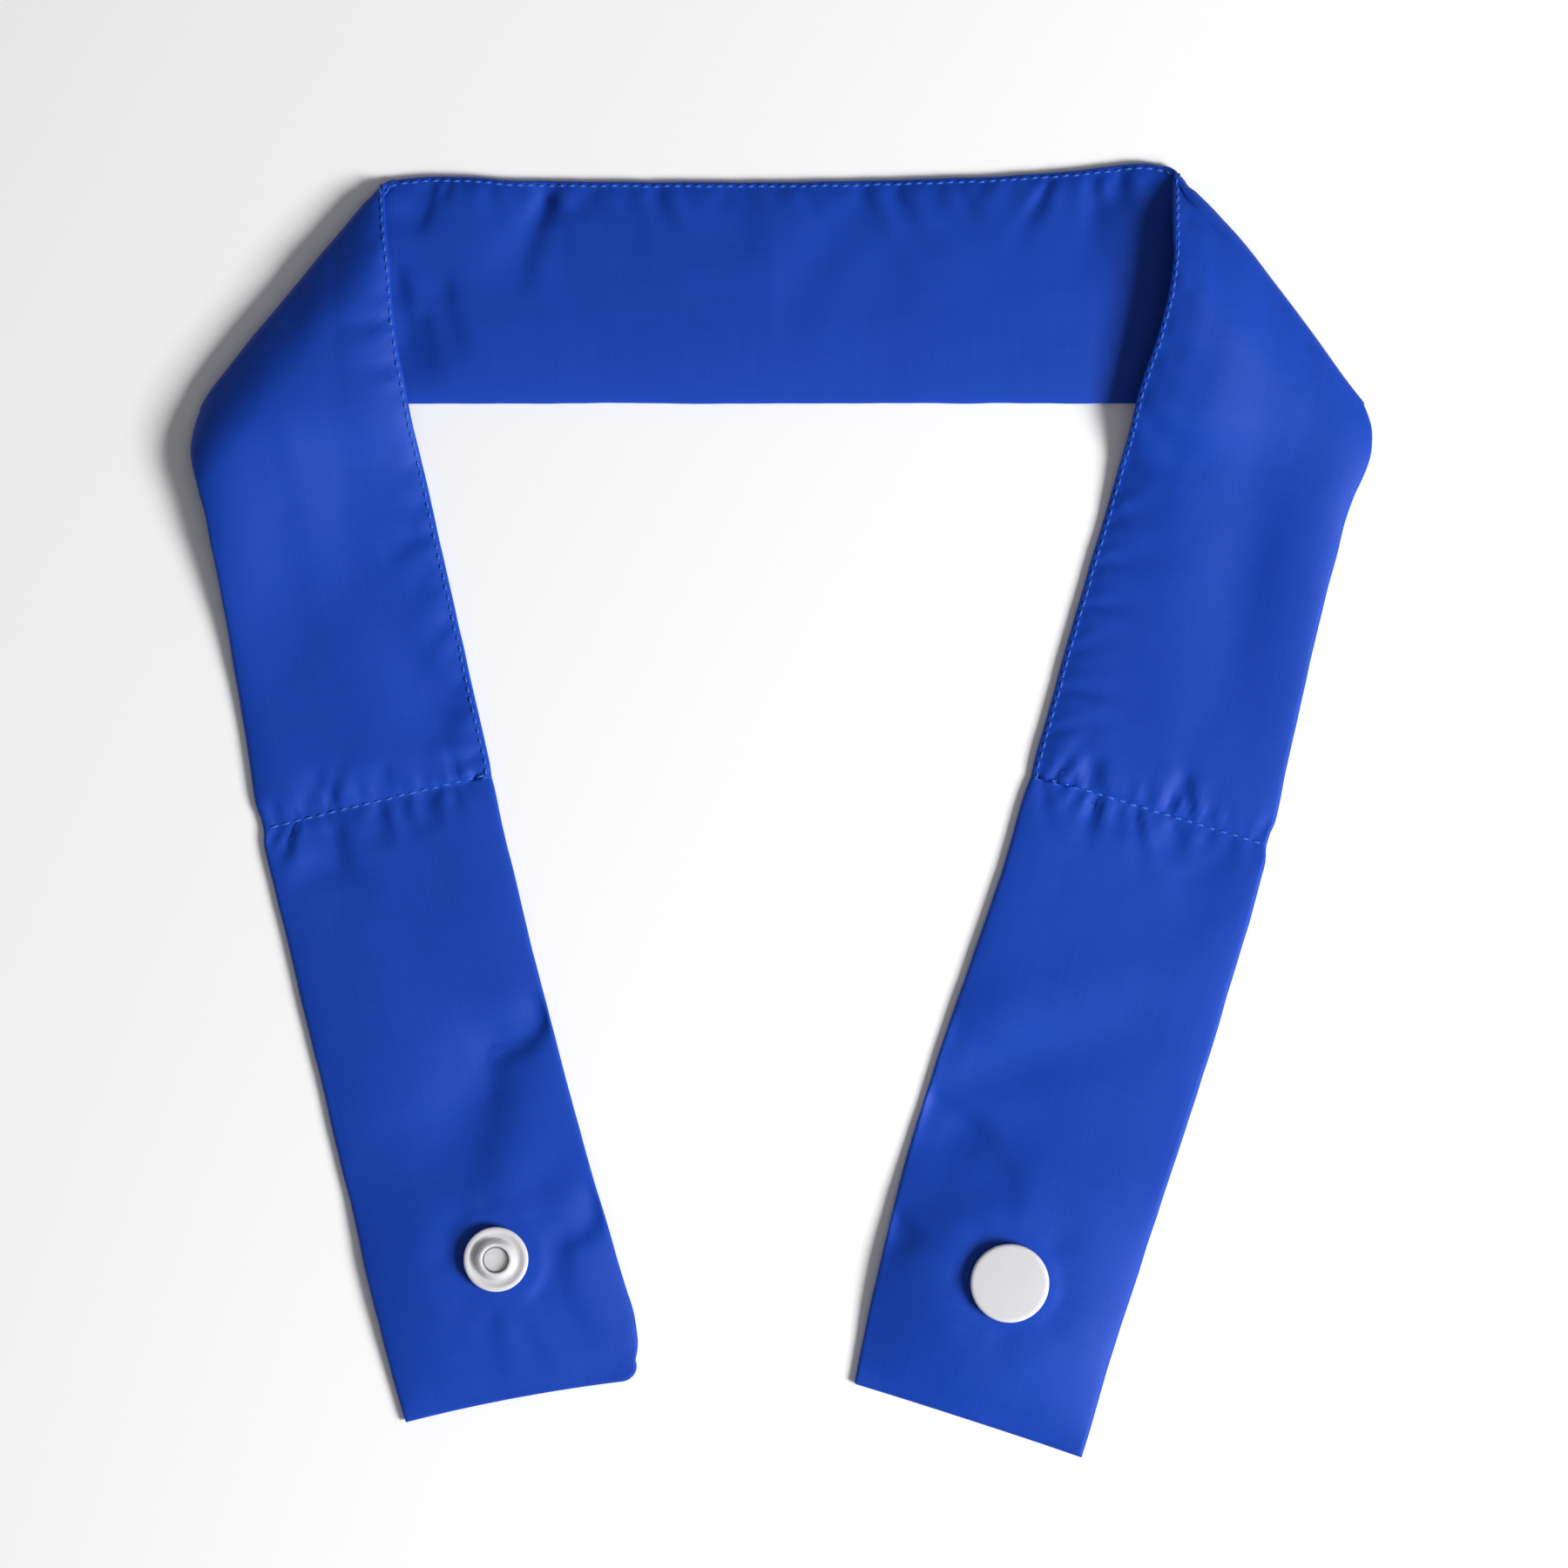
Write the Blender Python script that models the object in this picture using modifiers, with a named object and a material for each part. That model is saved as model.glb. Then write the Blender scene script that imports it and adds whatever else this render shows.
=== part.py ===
"""Cooling neck wrap, laid out flat on a table.

A flat tube of woven cloth, sewn shut along one long edge. Its back section runs across the top,
and at each end of it the band is folded over, so that both arms lie on top of it and run down.
A cross seam on each arm closes the pocket for the cooling granules. Beyond it is a plain tab
with one half of a plastic press snap.

+X runs along the back section, +Y from the tabs to the back section, and +Z up. The underside
lies on z = 0, and the origin is below the middle of the outline. All sizes are in metres.
"""

import math
from bisect import bisect_right
from typing import NamedTuple

import bmesh
import bpy
from mathutils import Vector

# The band, as it lies
BAND_WIDTH = 0.0370
FOLD_REACH = 0.0783
LEFT_ARM_LENGTH = 0.0815
LEFT_ARM_LEAN = math.radians(10.5)
LEFT_TAB_LENGTH = 0.0974
LEFT_TAB_LEAN = math.radians(13.7)
RIGHT_ARM_LENGTH = 0.0840
RIGHT_ARM_LEAN = math.radians(13.3)
RIGHT_TAB_LENGTH = 0.1006
RIGHT_TAB_LEAN = math.radians(16.9)

LEFT_END_BOW = 0.0007
LEFT_END_CORNER = 0.0028
RIGHT_END_BOW = 0.0002
RIGHT_END_CORNER = 0.0004

# How thick its two layers are together
POCKET_THICKNESS = 0.0019
TAB_THICKNESS = 0.0015
EDGE_THICKNESS = 0.0010
SEAM_THICKNESS = 0.0010
EDGE_ROLL = 0.0006
SEAM_EASE = 0.0070

# How the cloth stands at the folds
LAYER_GAP = 0.0005
LEFT_FOLD_HEIGHT = 0.0043
LEFT_FOLD_SETTLE = 0.0300
LEFT_SWELL = 0.0022
LEFT_SWELL_RISE = 0.0085
LEFT_EDGE_LIFT = 0.0004
LEFT_FOLD_SLANT = 0.0027
RIGHT_FOLD_HEIGHT = 0.0048
RIGHT_FOLD_SETTLE = 0.0420
RIGHT_SWELL = 0.0008
RIGHT_SWELL_RISE = 0.0140
RIGHT_EDGE_LIFT = 0.0050
RIGHT_FOLD_SLANT = 0.0024
DROP_LENGTH = 0.0100
HELD_CORNER = 12

# The press snap
SNAP_INSET = 0.0229
LEFT_SNAP_OFFSET = 0.0010
RIGHT_SNAP_OFFSET = 0.0004
CAP_DIAMETER = 0.0124
CAP_THICKNESS = 0.0016
CAP_ROUNDING = 0.0005
POST_DIAMETER = 0.0016
HEAD_THICKNESS = 0.0005
FLANGE_THICKNESS = 0.0010
DISH_WIDTH = 0.0006
RIM_WIDTH = 0.0008
RIM_HEIGHT = 0.0004
WELL_DIAMETER = 0.0044
WELL_WALL = 0.0011
WELL_SLOPE = 0.0006
WELL_DEPTH = 0.0015
KNOB_DIAMETER = 0.0041
KNOB_WALL = 0.0005
KNOB_HEIGHT = 0.0016
SEAT_GAP = 0.0003
POST_CLEARANCE = 0.0003
HEAD_CLEARANCE = 0.0003
PAD_THICKNESS = 0.0012
PAD_MARGIN = 0.0015
PAD_SPREAD = 0.0200

# The mesh
ROW_STEP = 0.0040
FAN_LENGTH = 0.0130
FAN_ROWS = 10
BEND_ROWS = 8
END_ROWS = 4
COLUMNS = (0.06, 0.15, 0.27, 0.39, 0.50, 0.61, 0.73, 0.85, 0.94)
ROUND_SIDES = 32
CORNER_SHARE = 0.25

CLOTH_COLOUR = (0.014, 0.060, 0.440, 1.0)
PLASTIC_COLOUR = (0.80, 0.80, 0.82, 1.0)

BACK, ARM, TAB = range(3)


class Outline(NamedTuple):
    """How far the band's two edges lie from its centreline, in shares of the band's width."""

    portion: int
    along: float
    stitched: float
    folded: float


class Crease(NamedTuple):
    """The fold's edge, by shares of the way along it from the folded to the stitched edge.

    The inset, from where a flat band would fold, is a share of the band's width. The height
    at which the cloth stands there is a share of the fold's greatest height.
    """

    along: float
    inset: float
    height: float


class Dent(NamedTuple):
    """A soft crease or swelling. Its place is in shares of its portion and of the width.

    Its length and breadth are shares of the width, and its height of the pocket's thickness.
    """

    portion: int
    along: float
    across: float
    length: float
    breadth: float
    turn: float
    height: float


class Side(NamedTuple):
    """One half of the wrap, from the middle of the back section to the tip of its tab."""

    name: str
    sign: int
    arm_length: float
    arm_lean: float
    tab_length: float
    tab_lean: float
    end_skew: float
    end_bow: float
    end_corner: float
    fold_height: float
    settle: float
    swell: float
    swell_rise: float
    edge_lift: float
    slant: float
    snap_offset: float
    snap_lift: float
    outline: tuple
    crease: tuple
    dents: tuple


class Frame(NamedTuple):
    """A straight stretch of the band in plan: where it starts, its run, and its stitched side."""

    origin: Vector
    run: Vector
    inward: Vector

    def at(self, along, across):
        """The point in plan at these distances from the start and from the centreline."""
        return self.origin + self.run * along + self.inward * across


LEFT_OUTLINE = (
    Outline(BACK, 0.00, 0.472, 0.471),
    Outline(BACK, 0.50, 0.478, 0.471),
    Outline(BACK, 0.62, 0.492, 0.471),
    Outline(BACK, 0.75, 0.503, 0.471),
    Outline(BACK, 0.85, 0.510, 0.473),
    Outline(BACK, 1.00, 0.520, 0.478),
    Outline(ARM, -0.19, 0.489, 0.490),
    Outline(ARM, -0.08, 0.468, 0.495),
    Outline(ARM, 0.00, 0.456, 0.500),
    Outline(ARM, 0.09, 0.440, 0.515),
    Outline(ARM, 0.24, 0.436, 0.537),
    Outline(ARM, 0.34, 0.442, 0.508),
    Outline(ARM, 0.45, 0.452, 0.499),
    Outline(ARM, 0.70, 0.473, 0.503),
    Outline(ARM, 1.00, 0.498, 0.520),
    Outline(TAB, 0.00, 0.498, 0.520),
    Outline(TAB, 0.10, 0.488, 0.521),
    Outline(TAB, 0.60, 0.502, 0.523),
    Outline(TAB, 0.85, 0.532, 0.528),
    Outline(TAB, 0.96, 0.532, 0.520),
    Outline(TAB, 1.00, 0.500, 0.512),
)
RIGHT_OUTLINE = (
    Outline(BACK, 0.00, 0.472, 0.471),
    Outline(BACK, 0.30, 0.487, 0.471),
    Outline(BACK, 0.50, 0.506, 0.471),
    Outline(BACK, 0.64, 0.536, 0.471),
    Outline(BACK, 0.73, 0.556, 0.473),
    Outline(BACK, 0.80, 0.562, 0.475),
    Outline(BACK, 1.00, 0.569, 0.478),
    Outline(ARM, -0.18, 0.528, 0.500),
    Outline(ARM, -0.06, 0.480, 0.500),
    Outline(ARM, 0.00, 0.456, 0.510),
    Outline(ARM, 0.10, 0.452, 0.530),
    Outline(ARM, 0.17, 0.466, 0.566),
    Outline(ARM, 0.24, 0.480, 0.572),
    Outline(ARM, 0.34, 0.484, 0.518),
    Outline(ARM, 0.45, 0.494, 0.504),
    Outline(ARM, 0.70, 0.524, 0.500),
    Outline(ARM, 1.00, 0.552, 0.514),
    Outline(TAB, 0.00, 0.552, 0.514),
    Outline(TAB, 0.20, 0.553, 0.526),
    Outline(TAB, 0.55, 0.583, 0.516),
    Outline(TAB, 0.80, 0.560, 0.500),
    Outline(TAB, 1.00, 0.516, 0.504),
)
LEFT_CREASE = (
    Crease(0.00, 0.042, 0.40),
    Crease(0.12, 0.022, 0.75),
    Crease(0.50, 0.016, 1.00),
    Crease(0.80, 0.018, 0.90),
    Crease(1.00, 0.026, 0.52),
)
RIGHT_CREASE = (
    Crease(0.00, 0.000, 0.34),
    Crease(0.12, -0.001, 0.70),
    Crease(0.50, -0.017, 0.96),
    Crease(0.78, -0.008, 1.00),
    Crease(0.92, 0.014, 0.80),
    Crease(1.00, 0.014, 0.50),
)
LEFT_DENTS = (
    Dent(BACK, 0.46, 0.26, 0.30, 0.10, 70, -0.29),
    Dent(BACK, 0.62, 0.00, 0.34, 0.14, 10, -0.18),
    Dent(ARM, 0.80, 0.30, 0.28, 0.12, 25, -0.32),
    Dent(ARM, 0.45, -0.05, 0.80, 0.16, 5, 0.18),
    Dent(TAB, 0.18, -0.08, 0.20, 0.14, 20, -0.20),
    Dent(TAB, 0.46, 0.26, 0.45, 0.12, -50, -0.30),
    Dent(TAB, 0.66, 0.32, 0.22, 0.10, -60, -0.28),
    Dent(TAB, 0.36, -0.20, 0.60, 0.20, 0, 0.24),
)
RIGHT_DENTS = (
    Dent(BACK, 0.10, 0.24, 0.34, 0.12, 60, -0.24),
    Dent(BACK, 0.62, 0.30, 0.24, 0.10, 80, -0.21),
    Dent(ARM, 0.60, -0.20, 0.70, 0.16, -8, -0.29),
    Dent(ARM, 0.50, 0.16, 0.90, 0.16, -8, 0.24),
    Dent(TAB, 0.10, -0.30, 0.22, 0.12, 30, -0.22),
    Dent(TAB, 0.46, 0.26, 0.46, 0.11, 55, -0.34),
    Dent(TAB, 0.34, 0.20, 0.42, 0.14, 55, 0.29),
    Dent(TAB, 0.70, 0.44, 0.18, 0.09, 60, -0.26),
)

LEFT = Side(
    name="left",
    sign=-1,
    arm_length=LEFT_ARM_LENGTH,
    arm_lean=LEFT_ARM_LEAN,
    tab_length=LEFT_TAB_LENGTH,
    tab_lean=LEFT_TAB_LEAN,
    end_skew=math.radians(3.4),
    end_bow=LEFT_END_BOW,
    end_corner=LEFT_END_CORNER,
    fold_height=LEFT_FOLD_HEIGHT,
    settle=LEFT_FOLD_SETTLE,
    swell=LEFT_SWELL,
    swell_rise=LEFT_SWELL_RISE,
    edge_lift=LEFT_EDGE_LIFT,
    slant=LEFT_FOLD_SLANT,
    snap_offset=LEFT_SNAP_OFFSET,
    snap_lift=CAP_THICKNESS + SEAT_GAP,
    outline=LEFT_OUTLINE,
    crease=LEFT_CREASE,
    dents=LEFT_DENTS,
)
RIGHT = Side(
    name="right",
    sign=1,
    arm_length=RIGHT_ARM_LENGTH,
    arm_lean=RIGHT_ARM_LEAN,
    tab_length=RIGHT_TAB_LENGTH,
    tab_lean=RIGHT_TAB_LEAN,
    end_skew=math.radians(-1.1),
    end_bow=RIGHT_END_BOW,
    end_corner=RIGHT_END_CORNER,
    fold_height=RIGHT_FOLD_HEIGHT,
    settle=RIGHT_FOLD_SETTLE,
    swell=RIGHT_SWELL,
    swell_rise=RIGHT_SWELL_RISE,
    edge_lift=RIGHT_EDGE_LIFT,
    slant=RIGHT_FOLD_SLANT,
    snap_offset=RIGHT_SNAP_OFFSET,
    snap_lift=KNOB_HEIGHT + FLANGE_THICKNESS + SEAT_GAP,
    outline=RIGHT_OUTLINE,
    crease=RIGHT_CREASE,
    dents=RIGHT_DENTS,
)


def ease(share):
    """A smooth step from 0 to 1."""
    share = min(1.0, max(0.0, share))
    return share * share * (3 - 2 * share)


def mix(low, high, share):
    """The value at this share of the way from low to high."""
    return low + (high - low) * share


def looked_up(rows, along, column):
    """A column of a table at a place along it, on a smooth curve through the rows."""
    places = [row.along for row in rows]
    values = [getattr(row, column) for row in rows]
    along = min(places[-1], max(places[0], along))
    i = min(bisect_right(places, along), len(rows) - 1)
    slopes = []
    for j in (i - 1, i):
        low, high = max(0, j - 1), min(len(rows) - 1, j + 1)
        slopes.append((values[high] - values[low]) / (places[high] - places[low]))
    span = places[i] - places[i - 1]
    share = (along - places[i - 1]) / span
    start = values[i - 1] + slopes[0] * span * share
    end = values[i] - slopes[1] * span * (1 - share)
    return mix(start, end, ease(share))


def edge_share(side, portion, along, column):
    """How far an edge lies from the centreline, as the outline table has it at a share along."""
    rows = [row for row in side.outline if row.portion == portion]
    return looked_up(rows, along, column)


def back_frame(side):
    """The back section, from its middle to the fold."""
    return Frame(Vector((0, 0)), Vector((side.sign, 0)), Vector((0, 1)))


def leaning_frame(side, origin, lean):
    """A stretch that runs down from origin and leans inward."""
    run = Vector((-side.sign * math.sin(lean), -math.cos(lean)))
    inward = Vector((-side.sign * math.cos(lean), math.sin(lean)))
    return Frame(origin, run, inward)


def arm_frame(side):
    """The arm, from the fold to the cross seam."""
    return leaning_frame(side, Vector((side.sign * FOLD_REACH, 0)), side.arm_lean)


def tab_frame(side):
    """The tab, from the cross seam to its end."""
    return leaning_frame(side, arm_frame(side).at(side.arm_length, 0), side.tab_lean)


def portion_length(side, portion):
    """How long a portion's centreline is."""
    return (FOLD_REACH, side.arm_length, side.tab_length)[portion]


def edge_point(side, portion, along, column):
    """The plan position of the stitched or the folded edge at a distance along a portion."""
    frame = (back_frame, arm_frame, tab_frame)[portion](side)
    share = along / portion_length(side, portion)
    across = BAND_WIDTH * edge_share(side, portion, share, column)
    return frame.at(along, across if column == "stitched" else -across)


def fold_angle(side):
    """The angle between the fold's crease and the band, which sets the arm's lean."""
    return math.pi / 4 + side.arm_lean / 2


def fold_overhang(side):
    """How far along the band the crease's ends lie from its middle."""
    return BAND_WIDTH / 2 / math.tan(fold_angle(side))


def fold_outward(side):
    """The direction in plan from the crease away from the cloth."""
    angle = fold_angle(side)
    return Vector((side.sign * math.sin(angle), math.cos(angle)))


def fold_radius(side, across):
    """The radius that the band's middle bends to, at a share of the way along the crease."""
    height = side.fold_height * looked_up(side.crease, across, "height")
    thickness = thickness_across(POCKET_THICKNESS, across)
    return max(height - thickness, thickness + LAYER_GAP) / 2


def crease_axis(side, across):
    """The point in plan that the cloth bends about, at a share of the way along the crease."""
    middle = back_frame(side).at(FOLD_REACH, 0)
    run = Vector((side.sign * math.cos(fold_angle(side)), -math.sin(fold_angle(side))))
    folded = edge_share(side, BACK, 1.0, "folded")
    stitched = edge_share(side, BACK, 1.0, "stitched")
    reach = BAND_WIDTH * mix(folded, -stitched, across) / math.sin(fold_angle(side))
    inset = BAND_WIDTH * looked_up(side.crease, across, "inset") + fold_radius(side, across)
    inset += thickness_across(POCKET_THICKNESS, across) / 2
    return middle + run * reach - fold_outward(side) * inset


def crease_slip(side, across, turn):
    """How far the cloth slips down along the crease by the time that it has turned so far."""
    run = Vector((side.sign * math.cos(fold_angle(side)), -math.sin(fold_angle(side))))
    return run * side.slant * across ** 3 * (1 - math.cos(turn)) / 2


def crease_bulge(side, across, turn):
    """How far the turning cloth lies outside the axis. By the folded edge it stays out."""
    held = (1 - across) ** HELD_CORNER if turn > math.pi / 2 else 0.0
    return fold_outward(side) * fold_radius(side, across) * mix(math.sin(turn), 1.0, held)


def crease_shift(side, portion, across):
    """How far the crease's cloth lies from where the flat band's edges meet the crease."""
    overhang = fold_overhang(side)
    reach = FOLD_REACH if portion == BACK else 0.0
    folded = edge_point(side, portion, reach + overhang, "folded")
    stitched = edge_point(side, portion, reach - overhang, "stitched")
    turn = 0 if portion == BACK else math.pi
    moved = crease_slip(side, across, turn) + crease_bulge(side, across, turn)
    return crease_axis(side, across) + moved - folded.lerp(stitched, across)


def snap_centre(side):
    """The middle of the side's snap in plan."""
    return tab_frame(side).at(side.tab_length - SNAP_INSET, side.snap_offset)


def pad_share(side, point, spread):
    """1 where the snap clamps the cloth flat, falling to 0 over a distance round it."""
    away = (point - snap_centre(side)).length - CAP_DIAMETER / 2 - PAD_MARGIN
    return 1 - ease(away / spread)


def dent_height(side, portion, along, across):
    """What the creases and swellings add at a place, across being measured from the centreline."""
    total = 0.0
    for dent in side.dents:
        if dent.portion != portion:
            continue
        ahead = along - dent.along * portion_length(side, portion)
        beside = across - dent.across * BAND_WIDTH
        turn = math.radians(dent.turn)
        lengthwise = ahead * math.cos(turn) + beside * math.sin(turn)
        sidewise = beside * math.cos(turn) - ahead * math.sin(turn)
        reach = (lengthwise / (dent.length * BAND_WIDTH)) ** 2
        reach += (sidewise / (dent.breadth * BAND_WIDTH)) ** 2
        total += dent.height * POCKET_THICKNESS * math.exp(-reach)
    return total


def thickness_across(full, across):
    """How thick the undented band is at a share of its width from the folded edge."""
    return mix(EDGE_THICKNESS, full, 1 - (2 * across - 1) ** 6)


def thickness_at(side, portion, along, across, point):
    """How thick the two layers are at a place, across being a share of the width from 0 to 1."""
    full = TAB_THICKNESS if portion == TAB else POCKET_THICKNESS
    to_seam = {BACK: BAND_WIDTH, ARM: abs(side.arm_length - along), TAB: abs(along)}[portion]
    end = abs(side.tab_length - along) if portion == TAB else BAND_WIDTH
    body = thickness_across(full, across)
    crown = 1 - (2 * across - 1) ** 6
    body += dent_height(side, portion, along, (across - 0.5) * BAND_WIDTH) * crown
    body = mix(SEAM_THICKNESS, body, ease(to_seam / SEAM_EASE))
    body = mix(EDGE_THICKNESS, body, ease(end / SEAM_EASE))
    if portion == TAB:
        body = mix(body, PAD_THICKNESS, pad_share(side, point, SEAM_EASE))
    outermost = min(across, 1 - across) < EDGE_ROLL / BAND_WIDTH / 2
    return EDGE_THICKNESS / 2 if outermost else max(body, SEAM_THICKNESS)


def covered_height(side, point):
    """How high the cloth lies on the back section here, dropping to the floor past its edge."""
    edge = -BAND_WIDTH * edge_share(side, BACK, 1.0, "folded")
    past = edge - point.y
    return (POCKET_THICKNESS + LAYER_GAP) * (1 - ease(past / DROP_LENGTH))


def arm_rest(side, point, across):
    """The height of an arm's underside, from the top of the fold down to what it lies on."""
    inside = (crease_axis(side, across) - point).dot(fold_outward(side))
    settled = ease(inside / side.settle)
    rest = mix(2 * fold_radius(side, across), covered_height(side, point), settled)
    past = (inside - side.swell_rise) / side.settle
    swollen = ease(inside / side.swell_rise) * (1 - ease(past))
    return rest + (side.swell + side.edge_lift * across * across) * swollen


def across_shares():
    """Where the mesh's columns lie across the band, closer together at its rolled edges."""
    roll = EDGE_ROLL / BAND_WIDTH
    return [0.0, roll, *COLUMNS, 1 - roll, 1.0]


def end_inset(side, across):
    """How far the tab's end falls short of its length, where it's bowed and its corner rounded."""
    corner = side.end_corner
    past = max(0.0, corner - (1 - across) * BAND_WIDTH)
    return side.end_bow * 4 * across * (1 - across) + corner - math.sqrt(corner**2 - past**2)


def flat_row(side, portion, stitched_along, folded_along, bow=0.0, trim=0.0):
    """A row of the mesh from the folded to the stitched edge: points with their thickness.

    The bow is the share of the crease's shift that the row takes part in, and the trim its
    share of the inset of the tab's end.
    """
    folded = edge_point(side, portion, folded_along, "folded")
    stitched = edge_point(side, portion, stitched_along, "stitched")
    row = []
    for across in across_shares():
        point = folded.lerp(stitched, across)
        if bow:
            point = point + crease_shift(side, portion, across) * bow
        if trim:
            point = point - tab_frame(side).run * end_inset(side, across) * trim
        along = mix(folded_along, stitched_along, across)
        thickness = thickness_at(side, portion, along, across, point)
        rest = 0.0
        if portion == ARM:
            rest = arm_rest(side, point, across)
        elif portion == TAB:
            rest = side.snap_lift * pad_share(side, point, PAD_SPREAD)
        row.append((Vector((point.x, point.y, rest + thickness / 2)), thickness))
    return row


def back_rows(side):
    """The back section, its last rows fanning out until they lie along the crease."""
    overhang = fold_overhang(side)
    fan_start = FOLD_REACH - overhang - FAN_LENGTH
    steps = round(fan_start / ROW_STEP)
    rows = []
    for i in range(steps):
        along = fan_start * i / steps
        rows.append(flat_row(side, BACK, along, along))
    for i in range(FAN_ROWS):
        share = i / FAN_ROWS
        stitched = mix(fan_start, FOLD_REACH - overhang, share)
        folded = mix(fan_start, FOLD_REACH + overhang, share)
        rows.append(flat_row(side, BACK, stitched, folded, share * share))
    return rows


def bend_rows(side):
    """The fold itself, a half turn about the crease's axis."""
    rows = []
    for i in range(BEND_ROWS + 1):
        turn = math.pi * i / BEND_ROWS
        row = []
        for across in across_shares():
            axis = crease_axis(side, across)
            radius = fold_radius(side, across)
            point = axis + crease_bulge(side, across, turn) + crease_slip(side, across, turn)
            thickness = thickness_at(side, BACK, FOLD_REACH, across, axis)
            height = thickness / 2 + radius * (1 - math.cos(turn))
            row.append((Vector((point.x, point.y, height)), thickness))
        rows.append(row)
    return rows


def arm_rows(side):
    """The arm, its first rows fanning back until they lie square across the band."""
    overhang = fold_overhang(side)
    fan_end = overhang + FAN_LENGTH
    rows = []
    for i in range(1, FAN_ROWS + 1):
        share = i / FAN_ROWS
        stitched = mix(-overhang, fan_end, share)
        folded = mix(overhang, fan_end, share)
        rows.append(flat_row(side, ARM, stitched, folded, (1 - share) ** 2))
    steps = round((side.arm_length - fan_end) / ROW_STEP)
    for i in range(1, steps):
        along = mix(fan_end, side.arm_length, i / steps)
        rows.append(flat_row(side, ARM, along, along))
    return rows


def tab_rows(side):
    """The tab, from the cross seam to its end, which is cut slightly askew."""
    steps = round(side.tab_length / ROW_STEP)
    rows = []
    for i in range(steps + 1):
        along = side.tab_length * i / steps
        skew = math.tan(side.end_skew) * BAND_WIDTH / 2 * ease(i / steps)
        trim = ease(mix(1.0, 0.0, (steps - i) / END_ROWS))
        rows.append(flat_row(side, TAB, along + skew, along - skew, trim=trim))
    return rows


def side_rows(side):
    """All rows of one half of the wrap."""
    return back_rows(side) + bend_rows(side) + arm_rows(side) + tab_rows(side)


def plain_material(name, colour, roughness):
    """A Principled material of one colour."""
    material = bpy.data.materials.new(name)
    material.use_nodes = True
    shader = material.node_tree.nodes["Principled BSDF"]
    shader.inputs["Base Color"].default_value = colour
    shader.inputs["Roughness"].default_value = roughness
    return material


def added(name, mesh, collection, material, parent):
    """Puts a mesh into the scene as a named object."""
    piece = bpy.data.objects.new(name, mesh)
    collection.objects.link(piece)
    mesh.materials.append(material)
    piece.parent = parent
    return piece


def band_mesh():
    """The band's middle surface as a grid, and its thickness at each point."""
    rows = side_rows(LEFT)[:0:-1] + side_rows(RIGHT)
    form = bmesh.new()
    grid = [[form.verts.new(point) for point, _ in row] for row in rows]
    for before, after in zip(grid, grid[1:]):
        for i in range(len(before) - 1):
            form.faces.new((before[i], after[i], after[i + 1], before[i + 1]))
    mesh = bpy.data.meshes.new("band")
    form.to_mesh(mesh)
    form.free()
    return mesh, [thickness for row in rows for _, thickness in row]


def make_band(collection, material, parent):
    """The cloth band: its middle surface, thickened to both sides by as much as each place has."""
    mesh, thicknesses = band_mesh()
    band = added("band", mesh, collection, material, parent)
    group = band.vertex_groups.new(name="thickness")
    thickest = max(thicknesses)
    for index, thickness in enumerate(thicknesses):
        group.add([index], thickness / thickest, "REPLACE")
    solid = band.modifiers.new("two layers", "SOLIDIFY")
    solid.thickness = thickest
    solid.offset = 0
    solid.vertex_group = group.name
    solid.thickness_vertex_group = 0
    return band


def turned(name, profile, collection, material, parent):
    """A piece turned about its own +Z from a profile of (radius, height) points, top first."""
    mesh = bpy.data.meshes.new(name)
    points = [(radius, 0, height) for radius, height in profile]
    mesh.from_pydata(points, [(i, i + 1) for i in range(len(points) - 1)], [])
    piece = added(name, mesh, collection, material, parent)
    screw = piece.modifiers.new("turn", "SCREW")
    screw.steps = screw.render_steps = ROUND_SIDES
    screw.use_merge_vertices = True
    screw.merge_threshold = 0.00001
    screw.use_smooth_shade = True
    return piece


def cap_profile(reach, bore):
    """A cap with its flat face down, its post, and the head that it's pressed into in a bore."""
    radius, post = CAP_DIAMETER / 2, POST_DIAMETER / 2
    head = bore - HEAD_CLEARANCE
    return [
        (0, reach + HEAD_THICKNESS),
        (head, reach + HEAD_THICKNESS),
        (head, reach),
        (post, reach),
        (post, CAP_THICKNESS),
        (radius - CAP_ROUNDING, CAP_THICKNESS),
        (radius, CAP_THICKNESS - CAP_ROUNDING),
        (radius, CAP_ROUNDING),
        (radius - CAP_ROUNDING * CORNER_SHARE, CAP_ROUNDING * CORNER_SHARE),
        (radius - CAP_ROUNDING, 0),
        (0, 0),
    ]


def flange_points():
    """The outer part of a socket's or stud's flange, from its dish over the rim to its base."""
    radius = WELL_DIAMETER / 2 + WELL_WALL + DISH_WIDTH + RIM_HEIGHT + RIM_WIDTH
    return [
        (radius - RIM_WIDTH - RIM_HEIGHT, FLANGE_THICKNESS),
        (radius - RIM_WIDTH, FLANGE_THICKNESS + RIM_HEIGHT),
        (radius - RIM_HEIGHT, FLANGE_THICKNESS + RIM_HEIGHT),
        (radius, FLANGE_THICKNESS),
        (radius, 0),
    ]


def ring_profile(inner, wall, height, slope):
    """A flange with a raised ring round its post hole, as one closed line round the section.

    The slope is how much thinner the ring's wall is at its top, on the outside.
    """
    hole = POST_DIAMETER / 2 + POST_CLEARANCE
    top = FLANGE_THICKNESS + height
    crest = wall - slope
    corner = crest * CORNER_SHARE
    points = [
        (hole, 0),
        (hole, FLANGE_THICKNESS),
        (inner, FLANGE_THICKNESS),
        (inner, top - corner),
        (inner + corner, top),
        (inner + crest - corner, top),
        (inner + crest, top - corner),
        (inner + wall, FLANGE_THICKNESS),
        *flange_points(),
    ]
    return [*points, points[0]]


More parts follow.
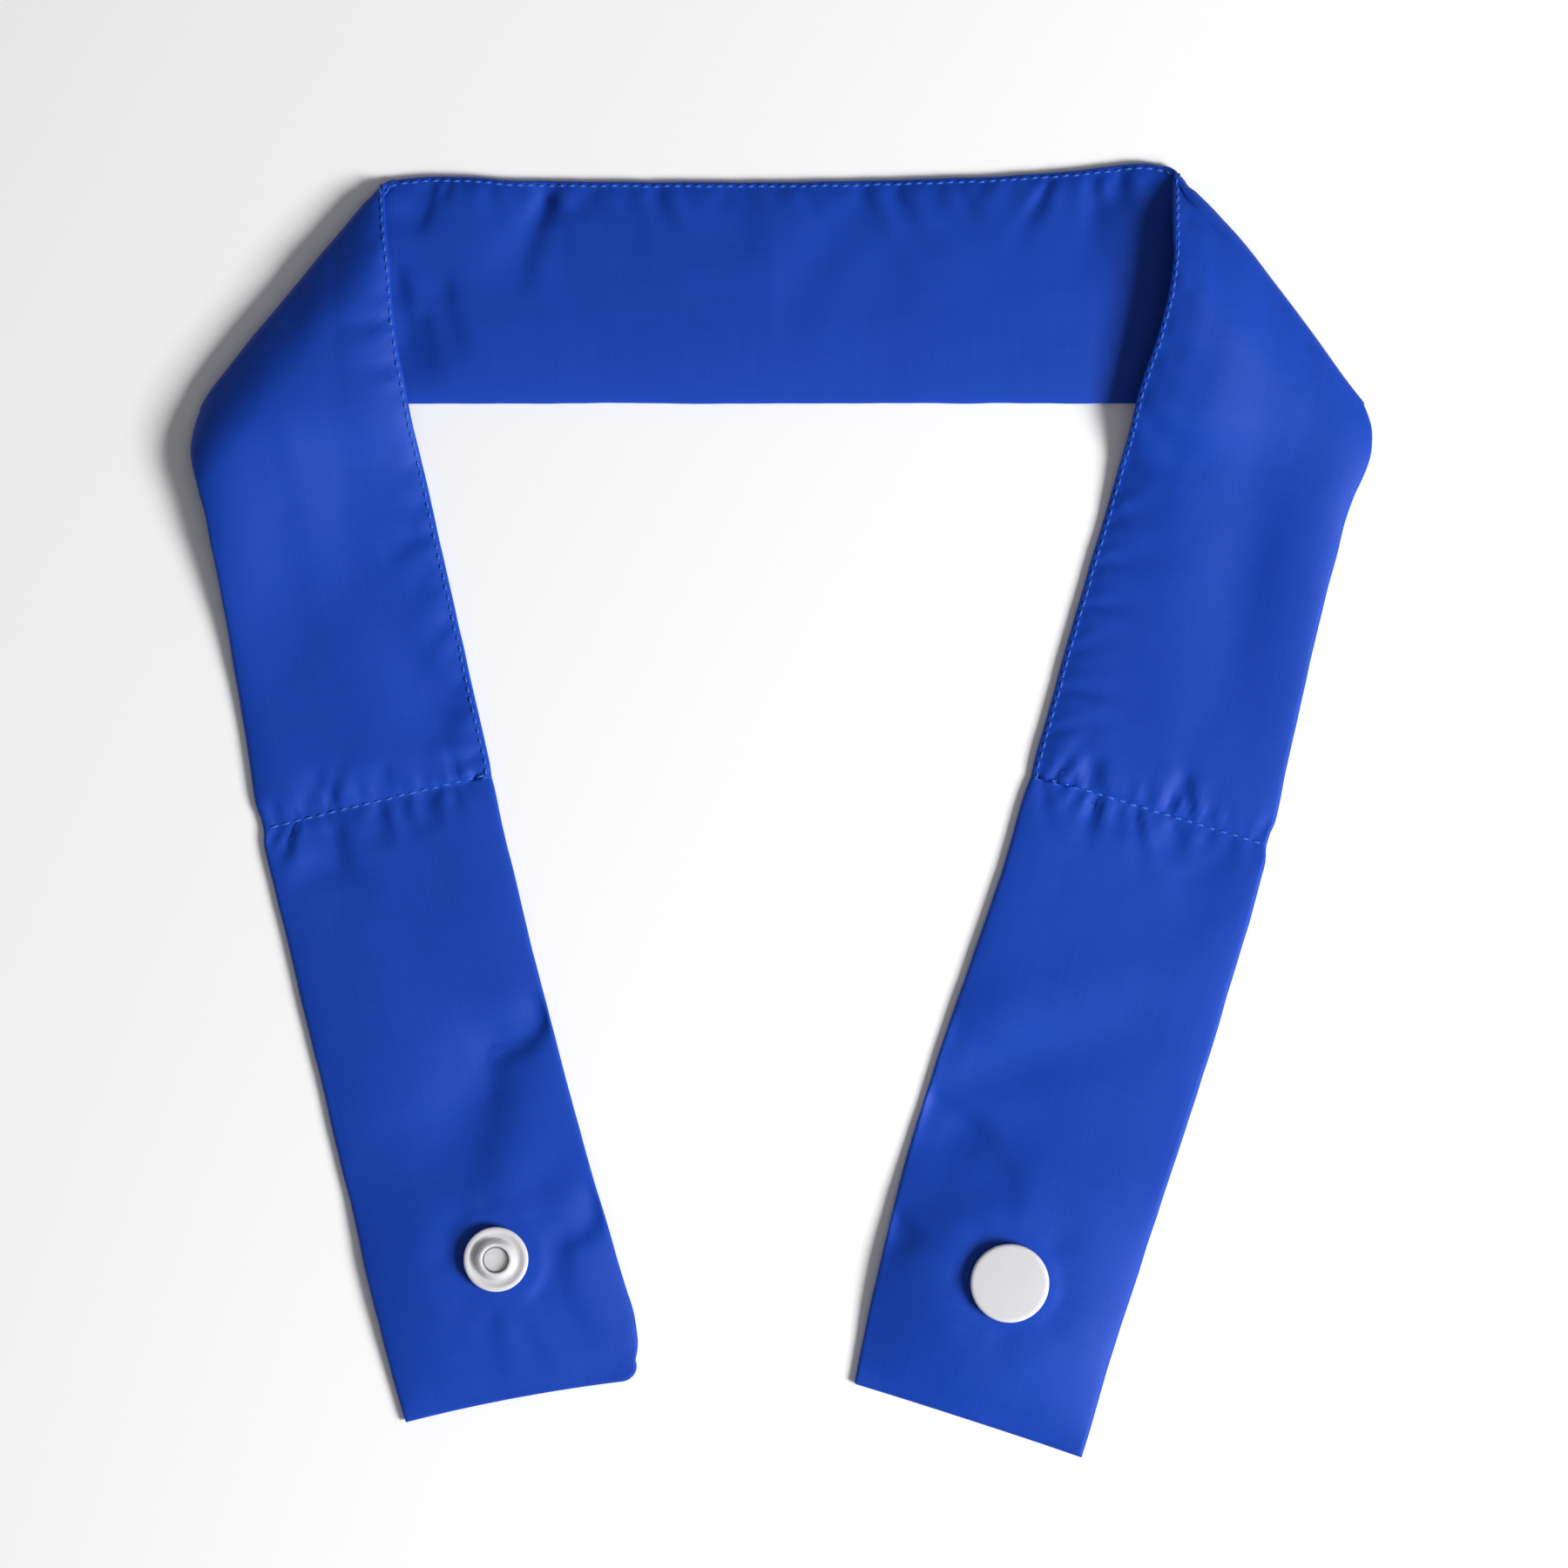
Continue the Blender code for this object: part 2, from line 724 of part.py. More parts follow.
def make_snap(side, collection, material, parent, flange_name, bore, flange_profile, cap_up):
    """One half of the snap: a cap on one face of the tab and a flanged piece on the other."""
    place = snap_centre(side)
    through = SEAT_GAP + PAD_THICKNESS + SEAT_GAP
    under = side.snap_lift - SEAT_GAP
    reach = CAP_THICKNESS + through + FLANGE_THICKNESS + SEAT_GAP
    cap = turned(f"{side.name}_cap", cap_profile(reach, bore), collection, material, parent)
    flanged = turned(flange_name, flange_profile, collection, material, parent)
    upper, lower = (cap, flanged) if cap_up else (flanged, cap)
    upper.location = (place.x, place.y, under + through)
    lower.location = (place.x, place.y, under)
    if cap_up:
        upper.location.z += CAP_THICKNESS
        upper.rotation_euler.x = lower.rotation_euler.x = math.pi
    else:
        lower.location.z -= CAP_THICKNESS


def cut_post_hole(band, side, cutters, parent):
    """Opens the hole that the snap's post goes through."""
    bpy.ops.mesh.primitive_cylinder_add(
        vertices=ROUND_SIDES // 2,
        radius=POST_DIAMETER / 2 + POST_CLEARANCE,
        depth=(side.snap_lift + PAD_THICKNESS) * 2,
        location=(*snap_centre(side), side.snap_lift + PAD_THICKNESS / 2),
    )
    cutter = bpy.context.object
    cutter.name = f"{side.name}_post_hole"
    for holder in list(cutter.users_collection):
        holder.objects.unlink(cutter)
    cutters.objects.link(cutter)
    cutter.parent = parent
    cutter.hide_render = True
    cutter.display_type = "WIRE"
    cut = band.modifiers.new(cutter.name, "BOOLEAN")
    cut.operation = "DIFFERENCE"
    cut.object = cutter


def underside_middle(piece):
    """The middle of a piece's outline in plan, at the height of its lowest point."""
    shown = piece.evaluated_get(bpy.context.evaluated_depsgraph_get())
    xs, ys, zs = zip(*(vertex.co for vertex in shown.data.vertices))
    return Vector(((min(xs) + max(xs)) / 2, (min(ys) + max(ys)) / 2, min(zs)))


def main():
    """Builds the wrap in an empty scene."""
    for old in list(bpy.data.objects):
        bpy.data.objects.remove(old)
    parts = bpy.data.collections.new("neck_wrap")
    cutters = bpy.data.collections.new("cutters")
    for collection in (parts, cutters):
        bpy.context.scene.collection.children.link(collection)
    cloth = plain_material("blue cloth", CLOTH_COLOUR, 0.6)
    plastic = plain_material("white plastic", PLASTIC_COLOUR, 0.35)

    middle = bpy.data.objects.new("wrap_middle", None)
    parts.objects.link(middle)
    band = make_band(parts, cloth, middle)
    well, knob_bore = WELL_DIAMETER / 2, KNOB_DIAMETER / 2 - KNOB_WALL
    socket = ring_profile(well, WELL_WALL, WELL_DEPTH, WELL_SLOPE)
    stud = ring_profile(knob_bore, KNOB_WALL, KNOB_HEIGHT, 0)
    make_snap(LEFT, parts, plastic, middle, "left_socket", well, socket, cap_up=False)
    make_snap(RIGHT, parts, plastic, middle, "right_stud", knob_bore, stud, cap_up=True)
    cut_post_hole(band, LEFT, cutters, middle)
    cut_post_hole(band, RIGHT, cutters, middle)

    bpy.context.view_layer.update()
    middle.location = -underside_middle(band)


main()
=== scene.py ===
"""The cooling neck wrap in full detail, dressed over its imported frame.

A flat tube of woven cloth lies with both arms folded over its back section. The band is one
closed surface, stitched along one long edge and across both arms, and a plastic press snap
closes it. Everything is in metres, with +Z up and the underside on z = 0.
"""

from __future__ import annotations

import logging
import math
import random
from bisect import bisect_right
from dataclasses import dataclass
from enum import Enum
from typing import Callable, Iterable, NamedTuple, Sequence, Union

import bpy
import numpy as np
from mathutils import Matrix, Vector, noise


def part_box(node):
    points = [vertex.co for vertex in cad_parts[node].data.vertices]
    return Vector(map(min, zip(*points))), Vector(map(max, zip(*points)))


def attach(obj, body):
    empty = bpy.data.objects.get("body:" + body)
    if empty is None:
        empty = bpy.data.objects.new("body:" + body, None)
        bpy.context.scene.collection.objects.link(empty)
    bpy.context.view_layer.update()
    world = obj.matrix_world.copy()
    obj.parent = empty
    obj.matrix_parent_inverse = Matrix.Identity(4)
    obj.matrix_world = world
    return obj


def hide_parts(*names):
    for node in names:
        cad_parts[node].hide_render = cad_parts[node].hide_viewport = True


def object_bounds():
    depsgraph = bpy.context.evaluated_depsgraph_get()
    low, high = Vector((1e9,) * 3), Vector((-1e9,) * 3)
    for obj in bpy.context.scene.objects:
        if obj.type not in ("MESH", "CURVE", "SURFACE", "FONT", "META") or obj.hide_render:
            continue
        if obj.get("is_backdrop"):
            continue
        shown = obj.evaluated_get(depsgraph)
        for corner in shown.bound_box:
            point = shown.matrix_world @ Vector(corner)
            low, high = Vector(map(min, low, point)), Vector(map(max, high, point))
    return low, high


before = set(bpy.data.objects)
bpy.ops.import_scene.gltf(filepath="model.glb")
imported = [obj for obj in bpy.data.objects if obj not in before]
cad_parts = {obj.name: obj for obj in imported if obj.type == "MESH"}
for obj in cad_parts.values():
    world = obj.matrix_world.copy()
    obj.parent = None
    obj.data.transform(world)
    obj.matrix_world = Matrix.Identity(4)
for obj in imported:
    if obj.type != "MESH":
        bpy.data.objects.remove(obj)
CAD_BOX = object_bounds()

log = logging.getLogger("neck_wrap")

PIXEL = 0.0001375
IMAGE_SIDE = 1800

Colour = tuple[float, float, float]


class Portion(Enum):
    """The three stretches of each half of the band."""

    BACK = 0
    ARM = 1
    TAB = 2


class Edge(Enum):
    """The band's two long edges."""

    STITCHED = "stitched"
    FOLDED = "folded"


class Layer(Enum):
    """The band's two layers of cloth: the one on top along the back, and the other."""

    FACE = 1
    LINING = -1


# Shader maths


class Term:
    """A shader socket that takes part in Python expressions on numbers."""

    def __init__(self, recipe: "Recipe", socket: bpy.types.NodeSocket) -> None:
        """Keeps the recipe that the socket belongs to."""
        self.recipe = recipe
        self.socket = socket

    def _math(self, operation: str, *values: "Value") -> "Term":
        """A Math node on these values."""
        return self.recipe.node("ShaderNodeMath", {"operation": operation}, dict(enumerate(values)))

    def __add__(self, other: "Value") -> "Term":
        """The sum."""
        return self._math("ADD", self, other)

    def __radd__(self, other: "Value") -> "Term":
        """The sum, with this term on the right."""
        return self._math("ADD", other, self)

    def __sub__(self, other: "Value") -> "Term":
        """The difference."""
        return self._math("SUBTRACT", self, other)

    def __rsub__(self, other: "Value") -> "Term":
        """The difference, with this term on the right."""
        return self._math("SUBTRACT", other, self)

    def __mul__(self, other: "Value") -> "Term":
        """The product."""
        return self._math("MULTIPLY", self, other)

    def __rmul__(self, other: "Value") -> "Term":
        """The product, with this term on the right."""
        return self._math("MULTIPLY", other, self)

    def __truediv__(self, other: "Value") -> "Term":
        """The quotient."""
        return self._math("DIVIDE", self, other)

    def sine(self) -> "Term":
        """Its sine, in radians."""
        return self._math("SINE", self)

    def above(self, other: "Value") -> "Term":
        """1 where it is greater than other, else 0."""
        return self._math("GREATER_THAN", self, other)

    def larger(self, other: "Value") -> "Term":
        """The larger of the two."""
        return self._math("MAXIMUM", self, other)

    def bell(self, width: float) -> "Term":
        """1 where it is zero, falling off over the width on both sides."""
        scaled = self * (1 / width)
        return self._math("EXPONENT", 0 - scaled * scaled)


Value = Union[Term, float, int]


class Recipe:
    """A material whose nodes are added one after another."""

    def __init__(self, name: str, finish: "Finish") -> None:
        """Makes the material and sets what is the same all over it.

        Args:
            name: The material's name.
            finish: The finish whose constants the shader takes.
        """
        self.material = bpy.data.materials.new(name)
        self.material.use_nodes = True
        self.tree = self.material.node_tree
        self.shader = self.tree.nodes["Principled BSDF"]
        self.material.diffuse_color = (*finish.colour, 1.0)
        self.shader.inputs["Base Color"].default_value = (*finish.colour, 1.0)
        for socket, value in finish.constants().items():
            self.shader.inputs[socket].default_value = value

    def node(self, kind: str, settings: dict, inputs: dict, output: str | int = 0) -> Term:
        """Adds one node.

        Args:
            kind: The node's type.
            settings: Its properties, set before its sockets are read.
            inputs: Values or terms by the socket's name or number.
            output: The output to hand on.

        Returns:
            The chosen output as a term.
        """
        made = self.tree.nodes.new(kind)
        for name, value in settings.items():
            setattr(made, name, value)
        for key, value in inputs.items():
            if isinstance(value, Term):
                self.tree.links.new(value.socket, made.inputs[key])
            else:
                made.inputs[key].default_value = value
        return Term(self, made.outputs[output])

    def places(self) -> Term:
        """The point in the piece's own space."""
        return self.node("ShaderNodeTexCoord", {}, {}, "Object")

    def attribute(self, name: str) -> Term:
        """A number that the mesh carries at each point."""
        return self.node("ShaderNodeAttribute", {"attribute_name": name}, {}, "Fac")

    def speckle(self, places: Term, scale: float, detail: float = 2.0) -> Term:
        """Noise from -1 to 1.

        Args:
            places: Where it is read.
            scale: Blotches per metre.
            detail: How many finer layers it has.

        Returns:
            The noise.
        """
        inputs = {"Vector": places, "Scale": scale, "Detail": detail}
        return self.node("ShaderNodeTexNoise", {}, inputs) * 2 - 1

    def stretched(self, places: Term, factors: Sequence[float]) -> Term:
        """The places with each axis multiplied by its factor."""
        settings = {"operation": "MULTIPLY"}
        return self.node("ShaderNodeVectorMath", settings, {0: places, 1: tuple(factors)})

    def tinted(self, amount: Value, low: Colour, high: Colour) -> Term:
        """A colour between two, by an amount from 0 to 1."""
        inputs = {"Factor": amount, "A": (*low, 1.0), "B": (*high, 1.0)}
        # The colour sockets share their names with the float ones, so they go by number.
        numbered = {0: inputs["Factor"], 6: inputs["A"], 7: inputs["B"]}
        return self.node("ShaderNodeMix", {"data_type": "RGBA"}, numbered, 2)

    def feed(self, socket: str, term: Term) -> None:
        """Leads a term into one of the shader's sockets."""
        self.tree.links.new(term.socket, self.shader.inputs[socket])

    def raise_by(self, height: Term, distance: float) -> None:
        """Bumps the surface by a height from 0 to 1 times a distance in metres."""
        bump = self.node("ShaderNodeBump", {}, {"Height": height, "Distance": distance})
        self.feed("Normal", bump)


@dataclass(frozen=True)
class Finish:
    """What is the same all over a surface."""

    name: str
    slot: str
    colour: Colour
    roughness: float

    def constants(self) -> dict[str, object]:
        """The shader's sockets and their values."""
        return {"Roughness": self.roughness}

    def made(self) -> bpy.types.Material:
        """The material."""
        return Recipe(self.name, self).material


@dataclass(frozen=True)
class WovenCloth(Finish):
    """Tightly woven dyed cloth, with stitch dimples along its seams and slightly worn edges."""

    dark: Colour = (0.0040, 0.040, 0.335)
    light: Colour = (0.0080, 0.064, 0.490)
    thread_pitch: float = 0.00030
    stitch_pitch: float = 0.00166
    weave_relief: float = 0.000035
    sheen: float = 0.04

    def constants(self) -> dict[str, object]:
        """The shader's sockets and their values."""
        return {
            "Roughness": self.roughness,
            "Specular IOR Level": 0.16,
            "Sheen Weight": self.sheen,
            "Sheen Roughness": 0.38,
            "Sheen Tint": (0.35, 0.50, 1.0, 1.0),
        }

    def threads(self, recipe: Recipe, strip: Term) -> Term:
        """The plain weave's height, from 0 to 1, over and under by turns.

        Args:
            recipe: The material's recipe.
            strip: The place along and across the unfolded band.

        Returns:
            The height.
        """
        part = recipe.node("ShaderNodeSeparateXYZ", {}, {0: strip}, "X")
        other = Term(recipe, part.socket.node.outputs["Y"])
        turn = 2 * math.pi / self.thread_pitch
        along, across = (part * turn).sine(), (other * turn).sine()
        return along * across * 0.5 + 0.5

    def made(self) -> bpy.types.Material:
        """The material."""
        recipe = Recipe(self.name, self)
        strip = recipe.node("ShaderNodeUVMap", {"uv_map": "strip"}, {}, "UV")
        weave = self.threads(recipe, strip)
        warp = recipe.speckle(recipe.stretched(strip, (60, 2600, 1)), 1.0)
        weft = recipe.speckle(recipe.stretched(strip, (2600, 60, 1)), 1.0)
        patches = recipe.speckle(recipe.places(), 38, 3.0)
        wear = recipe.attribute("edge_wear")
        shades = recipe.speckle(recipe.places(), 14, 2.0)
        # weave * 0.10 is painted shade: the cloth is lighter on the weave's raised crossings and
        # darker in its hollows. The other terms are the cloth's own uneven tone and its lighter worn
        # edges.
        tone = weave * 0.10 + warp * 0.22 + weft * 0.20 + wear * 0.30 + 0.42
        tone = tone + patches * 0.14 + shades * 0.30
        recipe.feed("Base Color", recipe.tinted(tone, self.dark, self.light))
        recipe.feed("Roughness", self.roughness + patches * 0.04 - wear * 0.05)
        dimple = recipe.attribute("stitch_gap").bell(0.00055)
        beat = (recipe.attribute("stitch_run") * (2 * math.pi / self.stitch_pitch)).sine()
        sunk = dimple * (beat * 0.5 + 0.5)
        height = weave * 0.30 + warp * 0.16 + weft * 0.14 - sunk * 1.2
        recipe.raise_by(height, self.weave_relief)
        return recipe.material


@dataclass(frozen=True)
class TwistedThread(Finish):
    """Sewing thread, a little lighter than the cloth, whose plies show as a twist with painted
    shade.
    """

    twist: float = 0.00042

    def constants(self) -> dict[str, object]:
        """The shader's sockets and their values."""
        return {"Roughness": self.roughness, "Specular IOR Level": 0.18}

    def made(self) -> bpy.types.Material:
        """The material."""
        recipe = Recipe(self.name, self)
        lie = recipe.node("ShaderNodeUVMap", {"uv_map": "thread"}, {}, "UV")
        along = recipe.node("ShaderNodeSeparateXYZ", {}, {0: lie}, "X")
        around = Term(recipe, along.socket.node.outputs["Y"])
        plies = (along * (2 * math.pi / self.twist) + around * (4 * math.pi)).sine() * 0.5 + 0.5
        uneven = recipe.speckle(recipe.places(), 900) * 0.15
        light = tuple(min(1.0, channel * 1.2) for channel in self.colour)
        dark = tuple(channel * 0.7 for channel in self.colour)
        # The plies paint shade and highlight: the thread is darker in the grooves of its twist and
        # lighter on its crests, where the bump below raises it.
        recipe.feed("Base Color", recipe.tinted(plies * 0.7 + uneven + 0.2, dark, light))
        recipe.raise_by(plies, 0.00006)
        return recipe.material


@dataclass(frozen=True)
class MouldedPlastic(Finish):
    """Smooth white plastic with faint handling marks."""

    coat: float = 0.25

    def constants(self) -> dict[str, object]:
        """The shader's sockets and their values."""
        return {
            "Roughness": self.roughness,
            "Coat Weight": self.coat,
            "Coat Roughness": 0.18,
            "Subsurface Weight": 0.7,
            "Subsurface Radius": (1.0, 1.0, 1.0),
            "Subsurface Scale": 0.0018,
        }

    def made(self) -> bpy.types.Material:
        """The material."""
        recipe = Recipe(self.name, self)
        places = recipe.places()
        marks = recipe.speckle(places, 700, 4.0)
        soft = recipe.speckle(places, 160)
        deep = tuple(channel * 0.94 for channel in self.colour)
        recipe.feed("Base Color", recipe.tinted(soft * 0.5 + 0.5, deep, self.colour))
        recipe.feed("Roughness", self.roughness + marks * 0.07 + soft * 0.03)
        recipe.raise_by(marks * 0.5 + 0.5, 0.000012)
        return recipe.material


# The band's shape


class Outline(NamedTuple):
    """How far the band's two edges lie from its centreline, in shares of the band's width."""

    portion: Portion
    along: float
    stitched: float
    folded: float


class Crease(NamedTuple):
    """The fold's edge, by shares of the way along it from the folded to the stitched edge."""

    along: float
    inset: float
    height: float


class Dent(NamedTuple):
    """A soft swelling or hollow of the pocket, as its solid has it."""

    portion: Portion
    along: float
    across: float
    length: float
    breadth: float
    turn: float
    height: float


class Wrinkle(NamedTuple):
    """A crease between two places, given as shares along its portion and of the width."""

    portion: Portion
    along: float
    across: float
    to_along: float
    to_across: float
    bow: float
    breadth: float
    height: float


@dataclass(frozen=True)
class Half:
    """One half of the wrap, from the middle of the back section to the tip of its tab."""

    name: str
    sign: int
    seed: int
    arm_length: float
    arm_lean: float
    tab_length: float
    tab_lean: float
    end_skew: float
    end_bow: float
    end_corner: float
    fold_height: float
    fold_rise: float
    settle: float
    swell: float
    swell_rise: float
    edge_lift: float
    slant: float
    snap_offset: float
    snap_lift: float
    outline: tuple[Outline, ...]
    crease: tuple[Crease, ...]
    dents: tuple[Dent, ...]
    wrinkles: tuple[Wrinkle, ...]


class Stretch(NamedTuple):
    """A straight stretch of the band in plan: where it starts, its run, and its stitched side."""

    origin: Vector
    run: Vector
    inward: Vector

    def at(self, along: float, across: float) -> Vector:
        """The point at these distances from the start and from the centreline."""
        return self.origin + self.run * along + self.inward * across

    def read(self, point: Vector) -> tuple[float, float]:
        """How far a point lies along the stretch and across it."""
        return (point - self.origin).dot(self.run), (point - self.origin).dot(self.inward)


def ease(share: float) -> float:
    """A smooth step from 0 to 1."""
    share = min(1.0, max(0.0, share))
    return share * share * (3 - 2 * share)


def mix(low: float, high: float, share: float) -> float:
    """The value at this share of the way from low to high."""
    return low + (high - low) * share


def looked_up(rows: Sequence, along: float, column: str) -> float:
    """Reads a table on a smooth curve through its rows.

    Args:
        rows: The table's rows, which have a field named along.
        along: The place to read.
        column: The field to read.

    Returns:
        The value there.
    """
    places = [row.along for row in rows]
    values = [getattr(row, column) for row in rows]
    along = min(places[-1], max(places[0], along))
    i = min(bisect_right(places, along), len(rows) - 1)
    slopes = []
    for j in (i - 1, i):
        low, high = max(0, j - 1), min(len(rows) - 1, j + 1)
        slopes.append((values[high] - values[low]) / (places[high] - places[low]))
    span = places[i] - places[i - 1]
    share = (along - places[i - 1]) / span
    start = values[i - 1] + slopes[0] * span * share
    end = values[i] - slopes[1] * span * (1 - share)
    return mix(start, end, ease(share))


BACK, ARM, TAB = Portion.BACK, Portion.ARM, Portion.TAB

LEFT_OUTLINE = (
    Outline(BACK, 0.00, 0.472, 0.471),
    Outline(BACK, 0.50, 0.478, 0.471),
    Outline(BACK, 0.62, 0.492, 0.471),
    Outline(BACK, 0.75, 0.503, 0.471),
    Outline(BACK, 0.85, 0.510, 0.473),
    Outline(BACK, 1.00, 0.520, 0.478),
    Outline(ARM, -0.19, 0.489, 0.490),
    Outline(ARM, -0.08, 0.468, 0.495),
    Outline(ARM, 0.00, 0.456, 0.500),
    Outline(ARM, 0.09, 0.440, 0.515),
    Outline(ARM, 0.24, 0.436, 0.537),
    Outline(ARM, 0.34, 0.442, 0.508),
    Outline(ARM, 0.45, 0.452, 0.499),
    Outline(ARM, 0.70, 0.473, 0.503),
    Outline(ARM, 1.00, 0.498, 0.520),
    Outline(TAB, 0.00, 0.498, 0.520),
    Outline(TAB, 0.10, 0.488, 0.521),
    Outline(TAB, 0.60, 0.502, 0.523),
    Outline(TAB, 0.85, 0.532, 0.528),
    Outline(TAB, 0.96, 0.532, 0.520),
    Outline(TAB, 1.00, 0.500, 0.512),
)
RIGHT_OUTLINE = (
    Outline(BACK, 0.00, 0.472, 0.471),
    Outline(BACK, 0.30, 0.487, 0.471),
    Outline(BACK, 0.50, 0.506, 0.471),
    Outline(BACK, 0.64, 0.536, 0.471),
    Outline(BACK, 0.73, 0.556, 0.473),
    Outline(BACK, 0.80, 0.562, 0.475),
    Outline(BACK, 1.00, 0.569, 0.478),
    Outline(ARM, -0.18, 0.528, 0.500),
    Outline(ARM, -0.06, 0.480, 0.500),
    Outline(ARM, 0.00, 0.456, 0.510),
    Outline(ARM, 0.10, 0.452, 0.530),
    Outline(ARM, 0.17, 0.466, 0.566),
    Outline(ARM, 0.24, 0.480, 0.572),
    Outline(ARM, 0.34, 0.484, 0.518),
    Outline(ARM, 0.45, 0.494, 0.504),
    Outline(ARM, 0.70, 0.524, 0.500),
    Outline(ARM, 1.00, 0.552, 0.514),
    Outline(TAB, 0.00, 0.552, 0.514),
    Outline(TAB, 0.20, 0.553, 0.526),
    Outline(TAB, 0.55, 0.583, 0.516),
    Outline(TAB, 0.80, 0.560, 0.500),
    Outline(TAB, 1.00, 0.516, 0.504),
)
LEFT_CREASE = (
    Crease(0.00, 0.042, 0.40),
    Crease(0.12, 0.022, 0.75),
    Crease(0.50, 0.016, 1.00),
    Crease(0.80, 0.018, 0.90),
    Crease(1.00, 0.026, 0.52),
)
RIGHT_CREASE = (
    Crease(0.00, 0.000, 0.34),
    Crease(0.12, -0.001, 0.70),
    Crease(0.50, -0.017, 0.96),
    Crease(0.78, -0.008, 1.00),
    Crease(0.92, 0.014, 0.80),
    Crease(1.00, 0.014, 0.50),
)
LEFT_DENTS = (
    Dent(BACK, 0.46, 0.26, 0.30, 0.10, 70, -0.29),
    Dent(BACK, 0.62, 0.00, 0.34, 0.14, 10, -0.18),
    Dent(ARM, 0.80, 0.30, 0.28, 0.12, 25, -0.32),
    Dent(ARM, 0.45, -0.05, 0.80, 0.16, 5, 0.18),
    Dent(TAB, 0.18, -0.08, 0.20, 0.14, 20, -0.20),
    Dent(TAB, 0.46, 0.26, 0.45, 0.12, -50, -0.30),
    Dent(TAB, 0.66, 0.32, 0.22, 0.10, -60, -0.28),
    Dent(TAB, 0.36, -0.20, 0.60, 0.20, 0, 0.24),
)
RIGHT_DENTS = (
    Dent(BACK, 0.10, 0.24, 0.34, 0.12, 60, -0.24),
    Dent(BACK, 0.62, 0.30, 0.24, 0.10, 80, -0.21),
    Dent(ARM, 0.60, -0.20, 0.70, 0.16, -8, -0.29),
    Dent(ARM, 0.50, 0.16, 0.90, 0.16, -8, 0.24),
    Dent(TAB, 0.10, -0.30, 0.22, 0.12, 30, -0.22),
    Dent(TAB, 0.46, 0.26, 0.46, 0.11, 55, -0.34),
    Dent(TAB, 0.34, 0.20, 0.42, 0.14, 55, 0.29),
    Dent(TAB, 0.70, 0.44, 0.18, 0.09, 60, -0.26),
)
LEFT_WRINKLES = (
    Wrinkle(BACK, 0.47, 0.45, 0.53, 0.05, 0.01, 0.050, -0.24),
    Wrinkle(BACK, 0.70, 0.45, 0.735, 0.27, 0.00, 0.034, -0.19),
    Wrinkle(BACK, 0.775, 0.05, 0.755, -0.33, -0.01, 0.045, -0.24),
    Wrinkle(BACK, 0.725, -0.12, 0.712, -0.38, 0.00, 0.040, -0.17),
    Wrinkle(BACK, 0.68, 0.03, 0.66, -0.27, 0.01, 0.050, -0.15),
    Wrinkle(BACK, 0.74, 0.12, 0.74, -0.36, 0.00, 0.150, -0.14),
    Wrinkle(BACK, 0.415, 0.45, 0.405, 0.34, 0.00, 0.036, -0.12),
    Wrinkle(BACK, 0.08, 0.45, 0.09, 0.16, 0.00, 0.080, -0.10),
    Wrinkle(BACK, 0.27, 0.42, 0.33, 0.06, 0.02, 0.090, -0.09),
    Wrinkle(ARM, 0.27, -0.14, 0.66, -0.21, 0.01, 0.070, -0.05),
    Wrinkle(ARM, 0.10, 0.17, 0.62, 0.02, 0.02, 0.080, -0.05),
    Wrinkle(ARM, 0.51, 0.40, 0.545, 0.26, 0.00, 0.034, -0.09),
    Wrinkle(ARM, 0.58, 0.44, 0.605, 0.33, 0.00, 0.030, -0.09),
    Wrinkle(ARM, 0.78, 0.46, 0.93, 0.20, 0.02, 0.070, -0.12),
    Wrinkle(ARM, 0.93, -0.22, 0.99, -0.24, 0.00, 0.030, -0.12),
    Wrinkle(ARM, 0.94, 0.06, 0.99, 0.05, 0.00, 0.028, -0.12),
    Wrinkle(TAB, 0.07, -0.34, 0.14, -0.12, 0.02, 0.070, -0.13),
    Wrinkle(TAB, 0.01, -0.43, 0.05, -0.40, 0.00, 0.030, -0.12),
    Wrinkle(TAB, 0.03, -0.20, 0.11, -0.22, 0.00, 0.045, -0.18),
    Wrinkle(TAB, 0.01, 0.02, 0.07, 0.00, 0.00, 0.030, -0.15),
    Wrinkle(TAB, 0.01, 0.20, 0.06, 0.22, 0.00, 0.030, -0.13),
    Wrinkle(TAB, 0.40, 0.49, 0.44, 0.20, 0.04, 0.042, -0.25),
    Wrinkle(TAB, 0.43, 0.22, 0.69, -0.16, 0.05, 0.085, -0.20),
    Wrinkle(TAB, 0.71, 0.50, 0.76, 0.30, 0.04, 0.042, -0.22),
    Wrinkle(TAB, 0.76, 0.30, 0.92, 0.26, -0.04, 0.055, -0.17),
    Wrinkle(TAB, 0.86, -0.06, 0.97, -0.10, 0.00, 0.040, -0.07),
    Wrinkle(TAB, 0.88, 0.06, 0.96, 0.08, 0.00, 0.036, -0.06),
)
